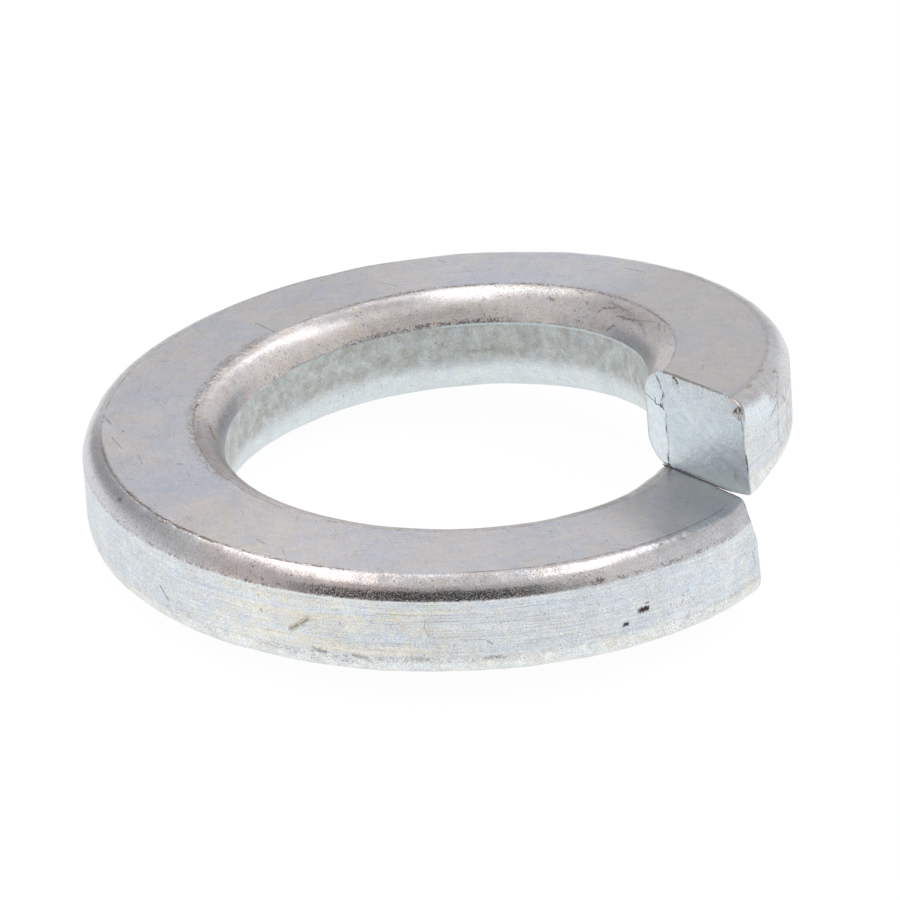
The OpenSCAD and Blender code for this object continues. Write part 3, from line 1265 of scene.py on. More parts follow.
class Mixer(Bench):
    """Bench for one finish, with what all the finishes read first."""

    def __init__(self, name: str, fx: Effects) -> None:
        """Starts the material.

        Args:
            name: the material's name.
            fx: the shared surface effects.
        """
        self.made = bpy.data.materials.new(name)
        self.made.use_nodes = True
        super().__init__(self.made.node_tree)
        self.fx = fx
        self.shader = self.made.node_tree.nodes["Principled BSDF"]
        place = self.put("ShaderNodeTexCoord").outputs["Object"]
        self.place = self.scaled(place, 1 / MM)
        self.fray = self.swing(self.noise(self.place, 5.0, 3.0, 0.7), 1.0)
        self.nibble = self.swing(self.noise(self.place, 15.0, 2.0, 0.6), 1.0)
        self.crumbs = self.plus(self.times(self.nibble, 0.8), self.fray, 0.5)
        self.gaps = self.noise(self.vector("ADD", self.place, (5.0, 1.0, 2.0)), 1.0, 4.0, 0.72)

    def stored(self, name: str) -> Socket:
        """Reads a number that the sweep stored on the points."""
        return self.put("ShaderNodeAttribute", attribute_name=name).outputs["Fac"]

    def shade(self, colour: Socket, tone: Socket) -> Socket:
        """Multiplies a colour by a grey level."""
        return self.tinted(colour, self.put("ShaderNodeCombineColor", {0: tone, 1: tone, 2: tone}).outputs[0])

    def tinted(self, colour: Socket, factor: Socket) -> Socket:
        """Multiplies a colour by a colour."""
        return self.blend(1.0, colour, factor, "MULTIPLY")

    def soiled(self, away: Socket, width: float, ragged: float, broken: float,
               crumbs: bool = False) -> Socket:
        """Gives the mask of a broken, ragged line of soil or of a painted glint; crumbs makes it fall apart
        into specks.
        """
        return self.use(self.fx.soil_and_glint_line, Away=away, Width=width, Fray=self.times(self.fray, ragged),
                        Gaps=self.crumbs if crumbs else self.gaps, Broken=broken)[0]

    def scratched(self, colour: Socket, at: Socket, marks: Sequence[Scratch],
                  coil: SpringCoil) -> tuple[Socket, Socket]:
        """Lays marks over a colour.

        Args:
            colour: the colour so far.
            at: the place that is shaded, as the marks count it.
            marks: the marks, in order.
            coil: the coil that they lie on.

        Returns:
            The new colour, and how deep the marks are, from 0 to 1.
        """
        depth: Socket | float = 0.0
        for mark in marks:
            start, end = (coil.spot(mark.on, *place) for place in (mark.start, mark.end))
            fray = self.times(self.nibble, mark.ragged * mark.width * 4)
            one = self.use(self.fx.scratch, Place=at, Start=start, End=end, Width=mark.width, Fray=fray)[0]
            colour = self.blend(self.times(one, mark.strength), colour, mark.tone)
            if mark.deep:
                depth = self.most(depth, self.times(one, mark.deep))
        return colour, depth

    def bumped(self, height: Socket, distance: float) -> Socket:
        """Turns a height into a normal; distance is what a height of 1 stands for, in metres."""
        bump = self.put("ShaderNodeBump", {"Height": height, "Distance": distance, "Strength": 1.0})
        return bump.outputs[0]

    def finish(self, **values: Socket) -> Material:
        """Joins values to the shader's sockets, whose blanks are written as underscores.

        Args:
            **values: socket name to the socket or number that feeds it.

        Returns:
            The material.
        """
        for name, value in values.items():
            self.join(value, self.shader.inputs[name.replace("_", " ")])
        return self.made


class WireMixer(Mixer):
    """Bench for the wire's own finish, with the masks of its surfaces and shared patterns."""

    def __init__(self, name: str, fx: Effects, coil: SpringCoil) -> None:
        """Starts the material.

        Args:
            name: the material's name.
            fx: the shared surface effects.
            coil: the coil that wears it, for where its surfaces meet.
        """
        super().__init__(name, fx)
        self.coil = coil
        self.along, self.around, self.to_cut = (self.stored(name) for name in ("along", "around", "to_cut"))
        self.torn = self.plus(self.around, self.times(self.fray, 0.22))
        self.edges = [float(mark) for mark in coil.walk["marks"]]
        rb0, rb1, rt0, rt1, bt0, bt1, bb0, bb1 = self.edges
        self.rim_wall = self.strip(rb1, rt0, 0.04, self.torn)
        self.bore_wall = self.times(
            self.strip(bt1, bb0 + 1, 0.03, self.torn), self.strip(bt1 - 1, bb0 - 0.15, 0.3, self.torn))
        self.rim_round, self.bore_round = self.strip(rt0, rt1, 0.02), self.strip(bt0, bt1, 0.03)
        self.flat = self.strip(rt1, bt0, 0.02)
        self.rim_foot, self.bore_foot = self.strip(rb0 - 0.2, rb1, 0.12), self.strip(bt1 + 0.02, bb1, 0.05)
        self.rounds = self.plus(self.rim_round, self.bore_round)
        self.soft = self.use(fx.bloom, Place=self.place, Size=4.0)
        self.small = self.use(fx.bloom, Place=self.place, Size=1.1, Shift=4.0)
        self.lines = self.use(fx.grain, Along=self.along, Around=self.around)
        self.scored = self.use(fx.grain, Along=self.along, Around=self.around, Fine=21.0, Long=0.3)["Lines"]
        self.fine = self.use(fx.mottle, Place=self.place, Size=0.055, Tint=0.11, Grey=self.plus(
            0.66, self.times(self.rim_wall, 0.45), self.times(self.rim_foot, 0.65),
            self.times(self.rounds, 0.25)))
        self.broad = self.use(fx.mottle, Place=self.place, Size=0.4, Tint=0.13, Grey=self.plus(
            0.22, self.times(self.rim_foot, 0.3), self.times(self.rounds, 0.12)))

    def strip(self, start: float, end: float, soft: float = 0.04, at: Socket | None = None) -> Socket:
        """Gives the mask of a strip of the section from start to end, judged by at where it is given."""
        at = self.around if at is None else at
        return self.use(self.fx.band, Around=at, From=start, To=end, Soft=soft)[0]

    def stretch(self, *parts: Stretch) -> Socket:
        """Gives the mask of one or more stretches of the coil, each by its share.

        Args:
            *parts: the stretches, whose masks are added.

        Returns:
            The mask.
        """
        degree = math.radians(1) * self.coil.section.mid_r
        masks = []
        for part in parts:
            mask = self.strip(part.first * degree, part.last * degree, part.soft * degree, self.along)
            masks.append(mask if part.share == 1 else self.times(mask, part.share))
        return self.plus(*masks)


@dataclass(frozen=True)
class ZincOnWire:
    """Bright zinc plate on the drawn wire, worn pinkish on the rounded edges."""

    mauve: Colour = (0.615, 0.595, 0.61)
    cool: Colour = (0.53, 0.56, 0.65)
    warm: Colour = (0.69, 0.63, 0.585)
    bronze: Colour = (0.64, 0.59, 0.58)
    steel: Colour = (0.56, 0.575, 0.61)
    rim: Colour = (0.72, 0.77, 0.81)
    sky: Colour = (0.675, 0.735, 0.825)
    straw: Colour = (0.825, 0.795, 0.69)
    pale: Colour = (0.85, 0.875, 0.88)
    bore: Colour = (0.495, 0.505, 0.475)
    chalk: Colour = (0.74, 0.785, 0.79)
    foot: Colour = (0.715, 0.775, 0.79)
    soil: Colour = (0.09, 0.075, 0.065)
    tarnish: Colour = (0.5, 0.455, 0.45)
    rose: Colour = (0.6, 0.52, 0.505)
    # lead: the tone of the painted shade on the rim round at the low end
    lead: Colour = (0.2, 0.2, 0.22)
    # slate: the blue-grey of the painted shade on the bore round
    slate: Colour = (0.2, 0.26, 0.34)
    # dusk: the tone of the painted shade over the rounds' upper halves
    dusk: Colour = (0.06, 0.06, 0.08)
    # black: the tone of the painted shade on the flat
    black: Colour = (0.0, 0.0, 0.0)
    # shine: the colour of a painted highlight
    painted_highlight: Colour = (0.88, 0.845, 0.825)
    # blush: the pinkish colour of light painted on the bore round
    lit_pink: Colour = (0.83, 0.765, 0.73)
    putty: Colour = (0.7, 0.68, 0.68)
    die_line: Colour = (0.34, 0.34, 0.33)
    hem: Colour = (0.79, 0.82, 0.82)
    warm_front: Stretch = Stretch(45, 108, 12, 0.35)
    # painted shade on the upper flat over three stretches of the coil, one of them the low end under the
    # raised end
    flat_shade: tuple[Stretch, ...] = (
        Stretch(290, 380, 12, 0.17), Stretch(104, 236, 12, 0.12), Stretch(-5, 26, 5, 0.17))
    bronze_front: Stretch = Stretch(30, 108, 14, 0.6)
    rosy: Stretch = Stretch(76, 106, 6, 0.55)
    # painted shade on the rim round at the low end, under the raised end
    low_end_shade: Stretch = Stretch(-6, 14, 4, 0.16)
    # painted shade on the lower part of the bore round, over two stretches
    bore_shade: tuple[Stretch, ...] = (Stretch(110, 182, 14), Stretch(304, 335, 8))
    # painted shade that dims the highlights on the upper halves of the rounds
    round_top_shade: tuple[Stretch, ...] = (
        Stretch(114, 156, 8, 0.26), Stretch(128, 158, 7, 0.16), Stretch(17, 33, 5, 0.24),
        Stretch(214, 243, 6, 0.26), Stretch(291, 336, 7, 0.24))
    # painted highlight near the flat on the back of the bore round, where the surface is also a little
    # smoother
    highlight_and_polish: Stretch = Stretch(248, 285, 6)
    # painted light on the lower part of the bore round, which is also made less metallic
    lit_lower_round: Stretch = Stretch(182, 284, 12)
    golden: Stretch = Stretch(62, 102, 10, 0.7)
    die_lined: Stretch = Stretch(36, 88, 10, 0.5)
    tarnished_wall: Stretch = Stretch(330, 353.5, 5)
    tarnished_round: Stretch = Stretch(348, 364, 3)
    # painted light that brightens the front of the rim wall
    lit_wall_front: Stretch = Stretch(44, 104, 10)
    peppered: Stretch = Stretch(50, 89, 5)
    marks: tuple[Scratch, ...] = (
        *marks_on(
            Lies.TOP, (9.46, 205.5, 8.28, 204.6, 0.035, 0.65, 0.9),
            (8.16, 165.0, 8.2, 163.5, 0.07, 0.8, 0.6, (0.12, 0.07, 0.03)),
            (11.35, 161.6, 10.99, 158.0, 0.045, 0.6, 1.2, EARTH),
            (10.95, 152.8, 10.68, 147.8, 0.032, 0.45, 1.0), (10.06, 170.2, 9.29, 163.5, 0.028, 0.28, 1.0),
            (10.56, 154.9, 10.56, 154.5, 0.055, 0.6, 1.0), (10.21, 144.2, 10.25, 140.2, 0.04, 0.35, 1.2),
            (10.99, 136.2, 10.72, 134.0, 0.035, 0.35, 1.2)),
        *marks_on(
            Lies.RIM_ROUND, (0.6, 131.0, 0.6, 130.5, 0.09, 0.75, 1.0, (0.08, 0.07, 0.06)),
            (0.84, 119.2, 0.87, 117.7, 0.06, 0.75, 1.2, RUST),
            (0.46, 116.0, 0.98, 115.1, 0.05, 0.6, 1.2, (0.28, 0.24, 0.18)),
            (0.94, 115.2, 0.99, 112.0, 0.065, 0.8, 1.2, RUST),
            (0.98, 109.6, 0.95, 106.6, 0.055, 0.75, 1.2, RUST)),
        *marks_on(
            Lies.TOP, (8.55, 301.0, 8.95, 289.5, 0.03, 0.2, 1.0),
            (8.34, 292.5, 8.62, 300.0, 0.03, 0.35, 1.0)),
        *marks_on(
            Lies.BORE_ROUND, (0.76, 297.0, 0.7, 304.5, 0.07, 0.7, 1.4, (0.18, 0.17, 0.17)),
            (0.7, 304.5, 0.58, 314.5, 0.15, 0.55, 1.4, SHADOW),
            (0.58, 314.5, 0.45, 321.2, 0.08, 0.5, 1.2, SHADOW),
            (0.5, 304.5, 0.56, 310.5, 0.07, 0.68, 1.0, (0.16, 0.11, 0.09)),
            (0.56, 310.5, 0.85, 319.5, 0.045, 0.6, 1.0, (0.22, 0.17, 0.15)),
            (0.44, 295.6, 0.56, 296.4, 0.055, 0.75, 1.0, SOOT),
            (0.56, 296.4, 0.66, 300.5, 0.055, 0.75, 1.0, SOOT),
            (0.12, 301.0, 0.28, 303.6, 0.06, 0.7, 1.0, (0.18, 0.15, 0.14)),
            (0.86, 320.6, 0.76, 325.0, 0.05, 0.65, 1.0, PEAT),
            (0.93, 323.0, 0.84, 328.0, 0.045, 0.55, 1.0, PEAT),
            (0.92, 284.0, 0.8, 287.5, 0.06, 0.55, 1.2, EARTH),
            (0.58, 277.8, 0.54, 279.2, 0.075, 0.6, 1.0, TAR)),
        *marks_on(
            Lies.TOP, (8.21, 308.5, 8.19, 321.0, 0.045, 0.48, 1.3, TAR),
            (8.97, 312.8, 8.5, 312.0, 0.03, 0.5, 1.0, (0.22, 0.15, 0.12)),
            (9.6, 249.0, 9.62, 258.0, 0.035, 0.35, 1.0), (9.67, 235.0, 8.98, 238.3, 0.03, 0.45),
            (10.95, 247.2, 10.7, 248.4, 0.09, 0.4, 1.0, (0.2, 0.17, 0.15)),
            (10.6, 285.0, 10.62, 290.0, 0.035, 0.55, 0.8), (10.42, 101.0, 10.56, 98.6, 0.045, 0.45, 0.9),
            (11.0, 35.6, 11.5, 32.4, 0.03, 0.5), (10.8, 34.0, 11.4, 30.9, 0.025, 0.4),
            (9.15, 137.4, 9.05, 136.6, 0.045, 0.6, 0.9)),
        *marks_on(Lies.BORE_ROUND, (0.62, 155.5, 0.5, 150.5, 0.08, 0.75, 0.7, (0.16, 0.12, 0.07))),
        *marks_on(
            Lies.RIM, (1.57, 33.5, 1.58, 32.2, 0.13, 1.0, 0.7, (0.015, 0.01, 0.006)),
            (1.58, 32.9, 1.57, 32.4, 0.05, 0.9, 0.8, (0.18, 0.06, 0.02), 0.0),
            (1.78, 32.4, 1.79, 31.9, 0.035, 0.7, 0.7, (0.08, 0.06, 0.05)),
            (1.22, 36.4, 1.24, 36.1, 0.12, 0.95, 0.6, (0.03, 0.025, 0.018)),
            (1.48, 90.4, 1.96, 87.3, 0.15, 0.6, 0.5, (0.5, 0.43, 0.34), 0.2),
            (1.44, 90.6, 1.66, 89.2, 0.035, 0.45, 1.2, LOAM), (1.72, 88.6, 1.92, 87.4, 0.03, 0.45, 1.2, LOAM),
            (1.5, 116.9, 1.12, 115.0, 0.045, 0.55, 0.9), (1.4, 59.3, 1.26, 58.4, 0.035, 0.5, 0.8),
            (2.2, 68.5, 1.95, 68.9, 0.022, 0.35), (1.95, 68.9, 1.6, 68.2, 0.022, 0.3),
            (0.9, 86.9, 0.82, 84.9, 0.08, 0.3, 1.4, DUST), (0.84, 80.2, 0.76, 78.3, 0.09, 0.26, 1.4, DUST),
            (0.55, 82.0, 0.5, 80.0, 0.08, 0.25, 2.0, SAND), (0.74, 60.0, 0.8, 57.5, 0.06, 0.3, 2.0, SAND),
            (1.95, 7.0, 1.45, 6.2, 0.05, 0.3, 1.2, DUST), (2.55, 350.5, 2.25, 348.5, 0.07, 0.4, 1.2, CLAY),
            (2.05, 346.5, 1.7, 344.5, 0.06, 0.35, 1.2, CLAY),
            (2.7, 365.4, 2.66, 357.0, 0.34, 0.65, 0.8, SALT, 0.0)),
        *marks_on(Lies.RIM_ROUND, (0.2, 365.2, 0.14, 358.0, 0.32, 0.75, 0.7, SALT, 0.0)),
        *marks_on(
            Lies.RIM, (2.3, 357.8, 2.64, 354.0, 0.05, 0.55, 1.2, (0.3, 0.22, 0.18)),
            (2.66, 353.5, 1.3, 354.3, 0.06, 0.45, 1.6, FAWN),
            (1.62, 361.6, 1.74, 360.6, 0.05, 0.5, 1.2, (0.3, 0.24, 0.21))),
        *marks_on(
            Lies.RIM_ROUND, (0.02, 354.6, 0.42, 349.0, 0.05, 0.45, 1.6, FAWN),
            (0.93, 359.7, 0.88, 358.5, 0.08, 0.8, 1.0, (0.18, 0.12, 0.08)),
            (0.96, 352.2, 0.92, 350.8, 0.07, 0.65, 1.0, EARTH),
            (0.58, 350.0, 0.52, 348.8, 0.07, 0.65, 1.0, EARTH),
            (0.72, 362.6, 0.56, 360.4, 0.2, 0.35, 1.4, (0.26, 0.24, 0.23)),
            (0.12, 40.6, 0.14, 40.1, 0.09, 0.75, 1.2, (0.1, 0.05, 0.03)),
            (0.7, 37.3, 0.04, 36.0, 0.03, 0.45, 1.4, UMBER), (0.7, 28.0, 0.72, 27.0, 0.045, 0.55, 1.0, UMBER),
            (0.62, 23.2, 0.66, 22.2, 0.04, 0.5, 1.0, UMBER), (0.74, 20.1, 0.74, 19.9, 0.05, 0.6, 1.0, TAR)),
        *marks_on(Lies.BORE, (1.62, 262.0, 1.6, 254.5, 0.09, 0.22, 1.4, (0.24, 0.23, 0.2), 0.2)),
    )
    grime_and_glints: tuple[GrimeAndGlint, ...] = tuple(GrimeAndGlint(*row) for row in (
        (3, 10, 62, 0.0, 0.045, 0.55, 0.3, 0.14, (0.15, 0.105, 0.085)),
        # painted glints: near-white specks on the rim round beside the flat
        (3, 88, 138, -0.08, 0.07, 0.8, 0.46, 0.35, (0.96, 0.915, 0.895), True),
        (3, 80, 150, 0.0, 0.12, 0.8, 0.445, 0.25, (0.12, 0.08, 0.06), True),
        (3, 106, 133, -0.02, 0.06, 0.6, 0.4, 0.16, (0.13, 0.085, 0.06)),
        (3, 133, 240, 0.0, 0.04, 0.3, 0.4),
        (3, 290, 372, 0.02, 0.12, 0.42, 0.4, 0.3, (0.24, 0.19, 0.17), True),
        (4, 20, 226, 0.0, 0.045, 0.35, 0.4),
        (4, 288, 360, 0.0, 0.045, 0.35, 0.4),
        (4, 236, 300, -0.05, 0.2, 0.6, 0.44, 0.45, (0.2, 0.14, 0.115), True),
        (4, 126, 200, -0.02, 0.36, 0.7, 0.46, 0.5, (0.22, 0.165, 0.13), True),
        (4, 180, 204, -0.22, 0.12, 0.4, 0.46, 0.4, (0.16, 0.13, 0.115)),
        (4, 222, 330, 0.0, 0.15, 0.75, 0.45, 0.3, (0.14, 0.105, 0.095), True),
        # a wide, soft grey band on the bore round just above the wall
        (5, 222, 266, -0.16, 0.26, 0.34, 0.56, 0.2, (0.23, 0.205, 0.195)),
        (5, 220, 268, -0.06, 0.17, 0.78, 0.455, 0.4, (0.08, 0.07, 0.064), True),
        (5, 200, 330, -0.03, 0.05, 0.3, 0.42),
        # painted highlight: a pale line at the top of the bore wall, by the crease
        (5, 246, 332, 0.06, 0.05, 0.75, 0.22, 0.06, (0.8, 0.88, 0.915)),
        (2, 12, 46, 0.09, 0.15, 0.6, 0.47, 0.25, (0.17, 0.12, 0.095), True),
        # painted highlight: a near-white line at the top of the rim wall, by the crease
        (2, 46, 104, -0.05, 0.06, 0.5, 0.34, 0.1, (0.9, 0.92, 0.93)),
        (2, 92, 150, 0.03, 0.12, 0.6, 0.48, 0.25, (0.18, 0.135, 0.115), True),
        (1, 12, 122, -0.05, 0.16, 0.34, 0.53, 0.4, (0.2, 0.18, 0.15)),
        (1, 54, 96, -0.12, 0.22, 0.6, 0.5, 0.45, (0.22, 0.19, 0.15), True),
    ))

    def flats_and_rounds(self, b: WireMixer, highlight_and_polish: Socket, lit_lower_round: Socket) -> Socket:
        """Colours the upper flat and the two rounded edges beside it.

        Args:
            b: the bench.
            highlight_and_polish: mask of the part of the bore's edge with a painted highlight and a slightly
                smoother surface.
            lit_lower_round: mask of its lower part, painted with pinkish light, on a less metallic surface.

        Returns:
            The colour.
        """
        _, _, rt0, rt1, bt0, bt1, _, _ = b.edges
        colour = b.coated(
            self.mauve, (b.times(b.soft["Cool"], 0.75), self.cool),
            (b.times(b.soft["Warm"], b.plus(0.45, b.stretch(self.warm_front))), self.warm),
            (b.times(b.small["Warm"], 0.22), self.warm), (b.times(b.small["Cool"], 0.16), self.cool),
            # painted shade on the flat over those stretches
            (b.stretch(*self.flat_shade), self.black))
        bronze = b.blend(b.times(b.small["Cool"], 0.45), self.bronze, self.steel)
        rolled = b.coated(
            self.steel, (b.plus(0.25, b.stretch(self.bronze_front)), bronze),
            # the lead coat is painted shade at the low end
            (b.stretch(self.rosy), self.rose), (b.stretch(self.low_end_shade), self.lead))
        # painted shade: blue-grey over the bore round's lower part in those stretches
        slate = b.times(b.stretch(*self.bore_shade), b.ease(b.around, bt0 + 0.5, bt1 - 0.15))
        top_half = b.plus(b.times(b.rim_round, b.ease(b.around, rt0 + 0.35, rt1 - 0.3)),
                          b.times(b.bore_round, b.ease(b.around, bt0 + 1.0, bt0 + 0.5)))
        return b.coated(
            colour, (b.rim_round, rolled),
            (b.bore_round, b.blend(b.times(slate, 0.42), bronze, self.slate)),
            # painted shade dims the highlights on the rounds' upper halves
            (b.times(top_half, b.stretch(*self.round_top_shade)), self.dusk),
            # a painted highlight high on the bore round's back
            # painted light on the bore round's lower part
            (b.times(highlight_and_polish, 0.8), self.painted_highlight), (b.times(lit_lower_round, 0.85), self.lit_pink))

    def walls(self, b: WireMixer, colour: Socket) -> Socket:
        """Colours the rim, the bore and the lower edges.

        Args:
            b: the bench.
            colour: the colour so far.

        Returns:
            The new colour.
        """
        gold = b.ease(b.plus(b.times(b.small["Cloud"], 0.55), b.times(b.lines["Wide"], 0.55)), 0.48, 0.68)
        drawn = b.times(b.ease(b.scored, 0.53, 0.62), b.plus(0.14, b.stretch(self.die_lined)))
        rim = b.coated(
            self.rim, (b.times(b.soft["Cool"], 0.28), self.sky),
            (b.times(b.ease(b.lines["Wide"], 0.5, 0.75), 0.45), self.pale),
            (b.times(b.ease(b.soft["Cloud"], 0.5, 0.75), 0.4), self.pale),
            (b.times(gold, b.plus(b.stretch(self.golden), 0.16)), self.straw),
            (b.times(b.small["Warm"], 0.3), self.putty), (drawn, self.die_line))
        tarnished = b.plus(b.times(b.stretch(self.tarnished_wall), b.rim_wall),
                           b.times(b.stretch(self.tarnished_round), b.rim_round))
        patches = b.ease(b.plus(b.small["Cloud"], b.times(b.fray, 0.4)), 0.4, 0.6)
        mottle = b.ease(b.noise(b.place, 2.0, 5.0, 0.74), 0.3, 0.72)
        return b.coated(
            colour, (b.rim_wall, rim), (b.times(tarnished, patches, 0.6), self.tarnish),
            (b.bore_foot, self.foot), (b.bore_wall, b.blend(mottle, self.bore, self.chalk)),
            (b.rim_foot, b.blend(b.times(b.small["Warm"], 0.5), self.hem, self.straw)))

    def worked(self, b: WireMixer, colour: Socket, grained: Socket) -> Socket:
        """Breaks the colour up by mottle, drawing lines, pits, hairlines, soil and lines of painted glint,
        and paints light on the front of the rim wall.

        Args:
            b: the bench.
            colour: the colour so far.
            grained: mask of the sharply grained strip under the front edge.

        Returns:
            The new colour.
        """
        colour = b.tinted(b.tinted(colour, b.fine["Factor"]), b.broad["Factor"])
        tone = b.plus(1.0, b.swing(b.soft["Cloud"], 0.16),
                      b.times(b.swing(b.lines["Lines"], 1.0), b.plus(0.16, b.times(b.rim_wall, 0.4))),
                      b.times(b.swing(b.scored, 1.0), b.plus(0.1, b.times(b.rim_wall, 0.5))),
                      # painted light: the front of the rim wall a little brighter
                      b.times(b.rim_wall, b.stretch(self.lit_wall_front), 0.075))
        colour = b.shade(colour, tone)
        pepper = b.shade(colour, b.ease(b.noise(b.place, 24.0, 1.0, 0.5), 0.36, 0.74, 0.16, 1.15))
        amount = b.plus(0.46, b.times(b.rounds, 0.1), b.times(b.rim_foot, 0.06))
        pits = b.use(b.fx.pitting, Place=b.place, Size=0.1, Amount=amount)["Pits"]
        hairs = b.times(b.use(b.fx.hairlines, Place=b.place, Amount=0.62)[0], b.flat)
        colour = b.coated(
            colour, (grained, pepper), (b.times(pits, 0.5), self.soil), (b.times(hairs, 0.34), self.soil))
        # lines along the section's boundaries: most are soil, a few are painted glints
        for line in self.grime_and_glints:
            away = b.minus(b.around, b.edges[line.edge] + line.shift)
            mask = b.soiled(away, line.width, line.ragged, line.broken, line.specks)
            here = b.stretch(Stretch(line.first, line.last, GRIME_SOFT))
            colour = b.blend(b.times(mask, here, line.share), colour, line.tone)
        edge = b.soiled(b.to_cut, 0.09, 0.16, 0.32)
        share = b.plus(0.06, b.times(b.most(b.rim_round, b.flat), 0.55))
        return b.blend(b.times(edge, share), colour, self.soil)

    def relief(self, b: WireMixer, grained: Socket) -> Socket:
        """Gives the fine bumps, as a normal.

        Args:
            b: the bench.
            grained: mask of the sharply grained strip under the front edge.

        Returns:
            The normal.
        """
        _, _, _, rt1, bt0, _, _, _ = b.edges
        height = b.times(b.swing(b.lines["Lines"], 1.0), b.plus(
            0.12, b.times(b.rim_wall, 0.4), b.times(b.rim_round, 0.5)))
        height = b.plus(height, b.times(b.swing(b.scored, 1.0), b.plus(0.06, b.times(b.rim_wall, 0.4))))
        height = b.plus(height, b.times(b.swing(b.fine["Tone"], 1.0), b.plus(
            0.22, b.times(b.bore_round, 0.4), b.times(b.rim_round, 0.1), b.times(grained, 1.15))))
        height = b.plus(height, b.times(b.swing(b.broad["Tone"], 1.0), b.plus(
            b.rounds, b.times(b.strip(bt0 - 0.05, bt0 + 0.22), 1.5),
            b.times(b.strip(rt1 - 0.2, rt1 + 0.03), 0.6))))
        return b.bumped(height, 0.000012)

    def material(self, coil: SpringCoil, fx: Effects) -> Material:
        """Builds the finish.

        Args:
            coil: the coil that wears it, for where its surfaces meet.
            fx: the shared surface effects.

        Returns:
            The material.
        """
        b = WireMixer("zinc_on_wire", fx, coil)
        _, _, rt0, _, bt0, bt1, _, _ = b.edges
        # painted highlight near the flat on the bore round; it also lowers the roughness a little
        highlight_and_polish = b.times(b.bore_round, b.ease(b.around, bt0 + 0.75, bt0 + 0.25), b.stretch(self.highlight_and_polish))
        # painted light on the lower part of the bore round, in a pinkish tone
        lit_lower_round = b.times(b.bore_round, b.ease(b.around, bt0 + 0.4, bt1 - 0.3), b.stretch(self.lit_lower_round))
        grained = b.times(b.strip(rt0 + 0.01, rt0 + 0.33, 0.06, b.torn), b.stretch(self.peppered))
        colour = self.walls(b, self.flats_and_rounds(b, highlight_and_polish, lit_lower_round))
        colour = self.worked(b, colour, grained)
        colour, depth = b.scratched(colour, b.place, self.marks, coil)
        worn = b.times(b.ease(b.to_cut, 0.07, 0.03), b.minus(1.0, b.most(b.rim_round, b.flat)))
        colour = b.blend(b.times(worn, 0.6), colour, self.pale)

        rough = b.plus(0.3, b.swing(b.soft["Cloud"], 0.1), b.swing(b.fine["Tone"], 0.1))
        rough = b.number(b.rim_round, rough, b.plus(0.22, b.swing(b.broad["Tone"], 0.2)))
        rough = b.number(b.bore_round, rough, b.plus(
            0.29, b.swing(b.broad["Tone"], 0.14), b.ease(b.around, bt0 + 0.6, bt1, 0.0, 0.26),
            b.times(highlight_and_polish, -0.05)))
        rough = b.number(b.most(b.rim_wall, b.most(b.rim_foot, b.bore_foot)), rough, 0.42)
        rough = b.number(b.bore_wall, rough, 0.5)
        rough = b.number(worn, b.plus(rough, b.times(depth, 0.3)), 0.7)
        metal = b.minus(1.0, b.plus(
            b.times(b.rim_wall, 0.15), b.times(b.bore_wall, 0.45), b.times(worn, 0.4),
            b.times(lit_lower_round, 0.5)))
        metal = b.times(metal, b.minus(1.0, b.times(depth, 0.8)))
        return b.finish(Base_Color=colour, Roughness=rough, Metallic=metal, Normal=self.relief(b, grained))


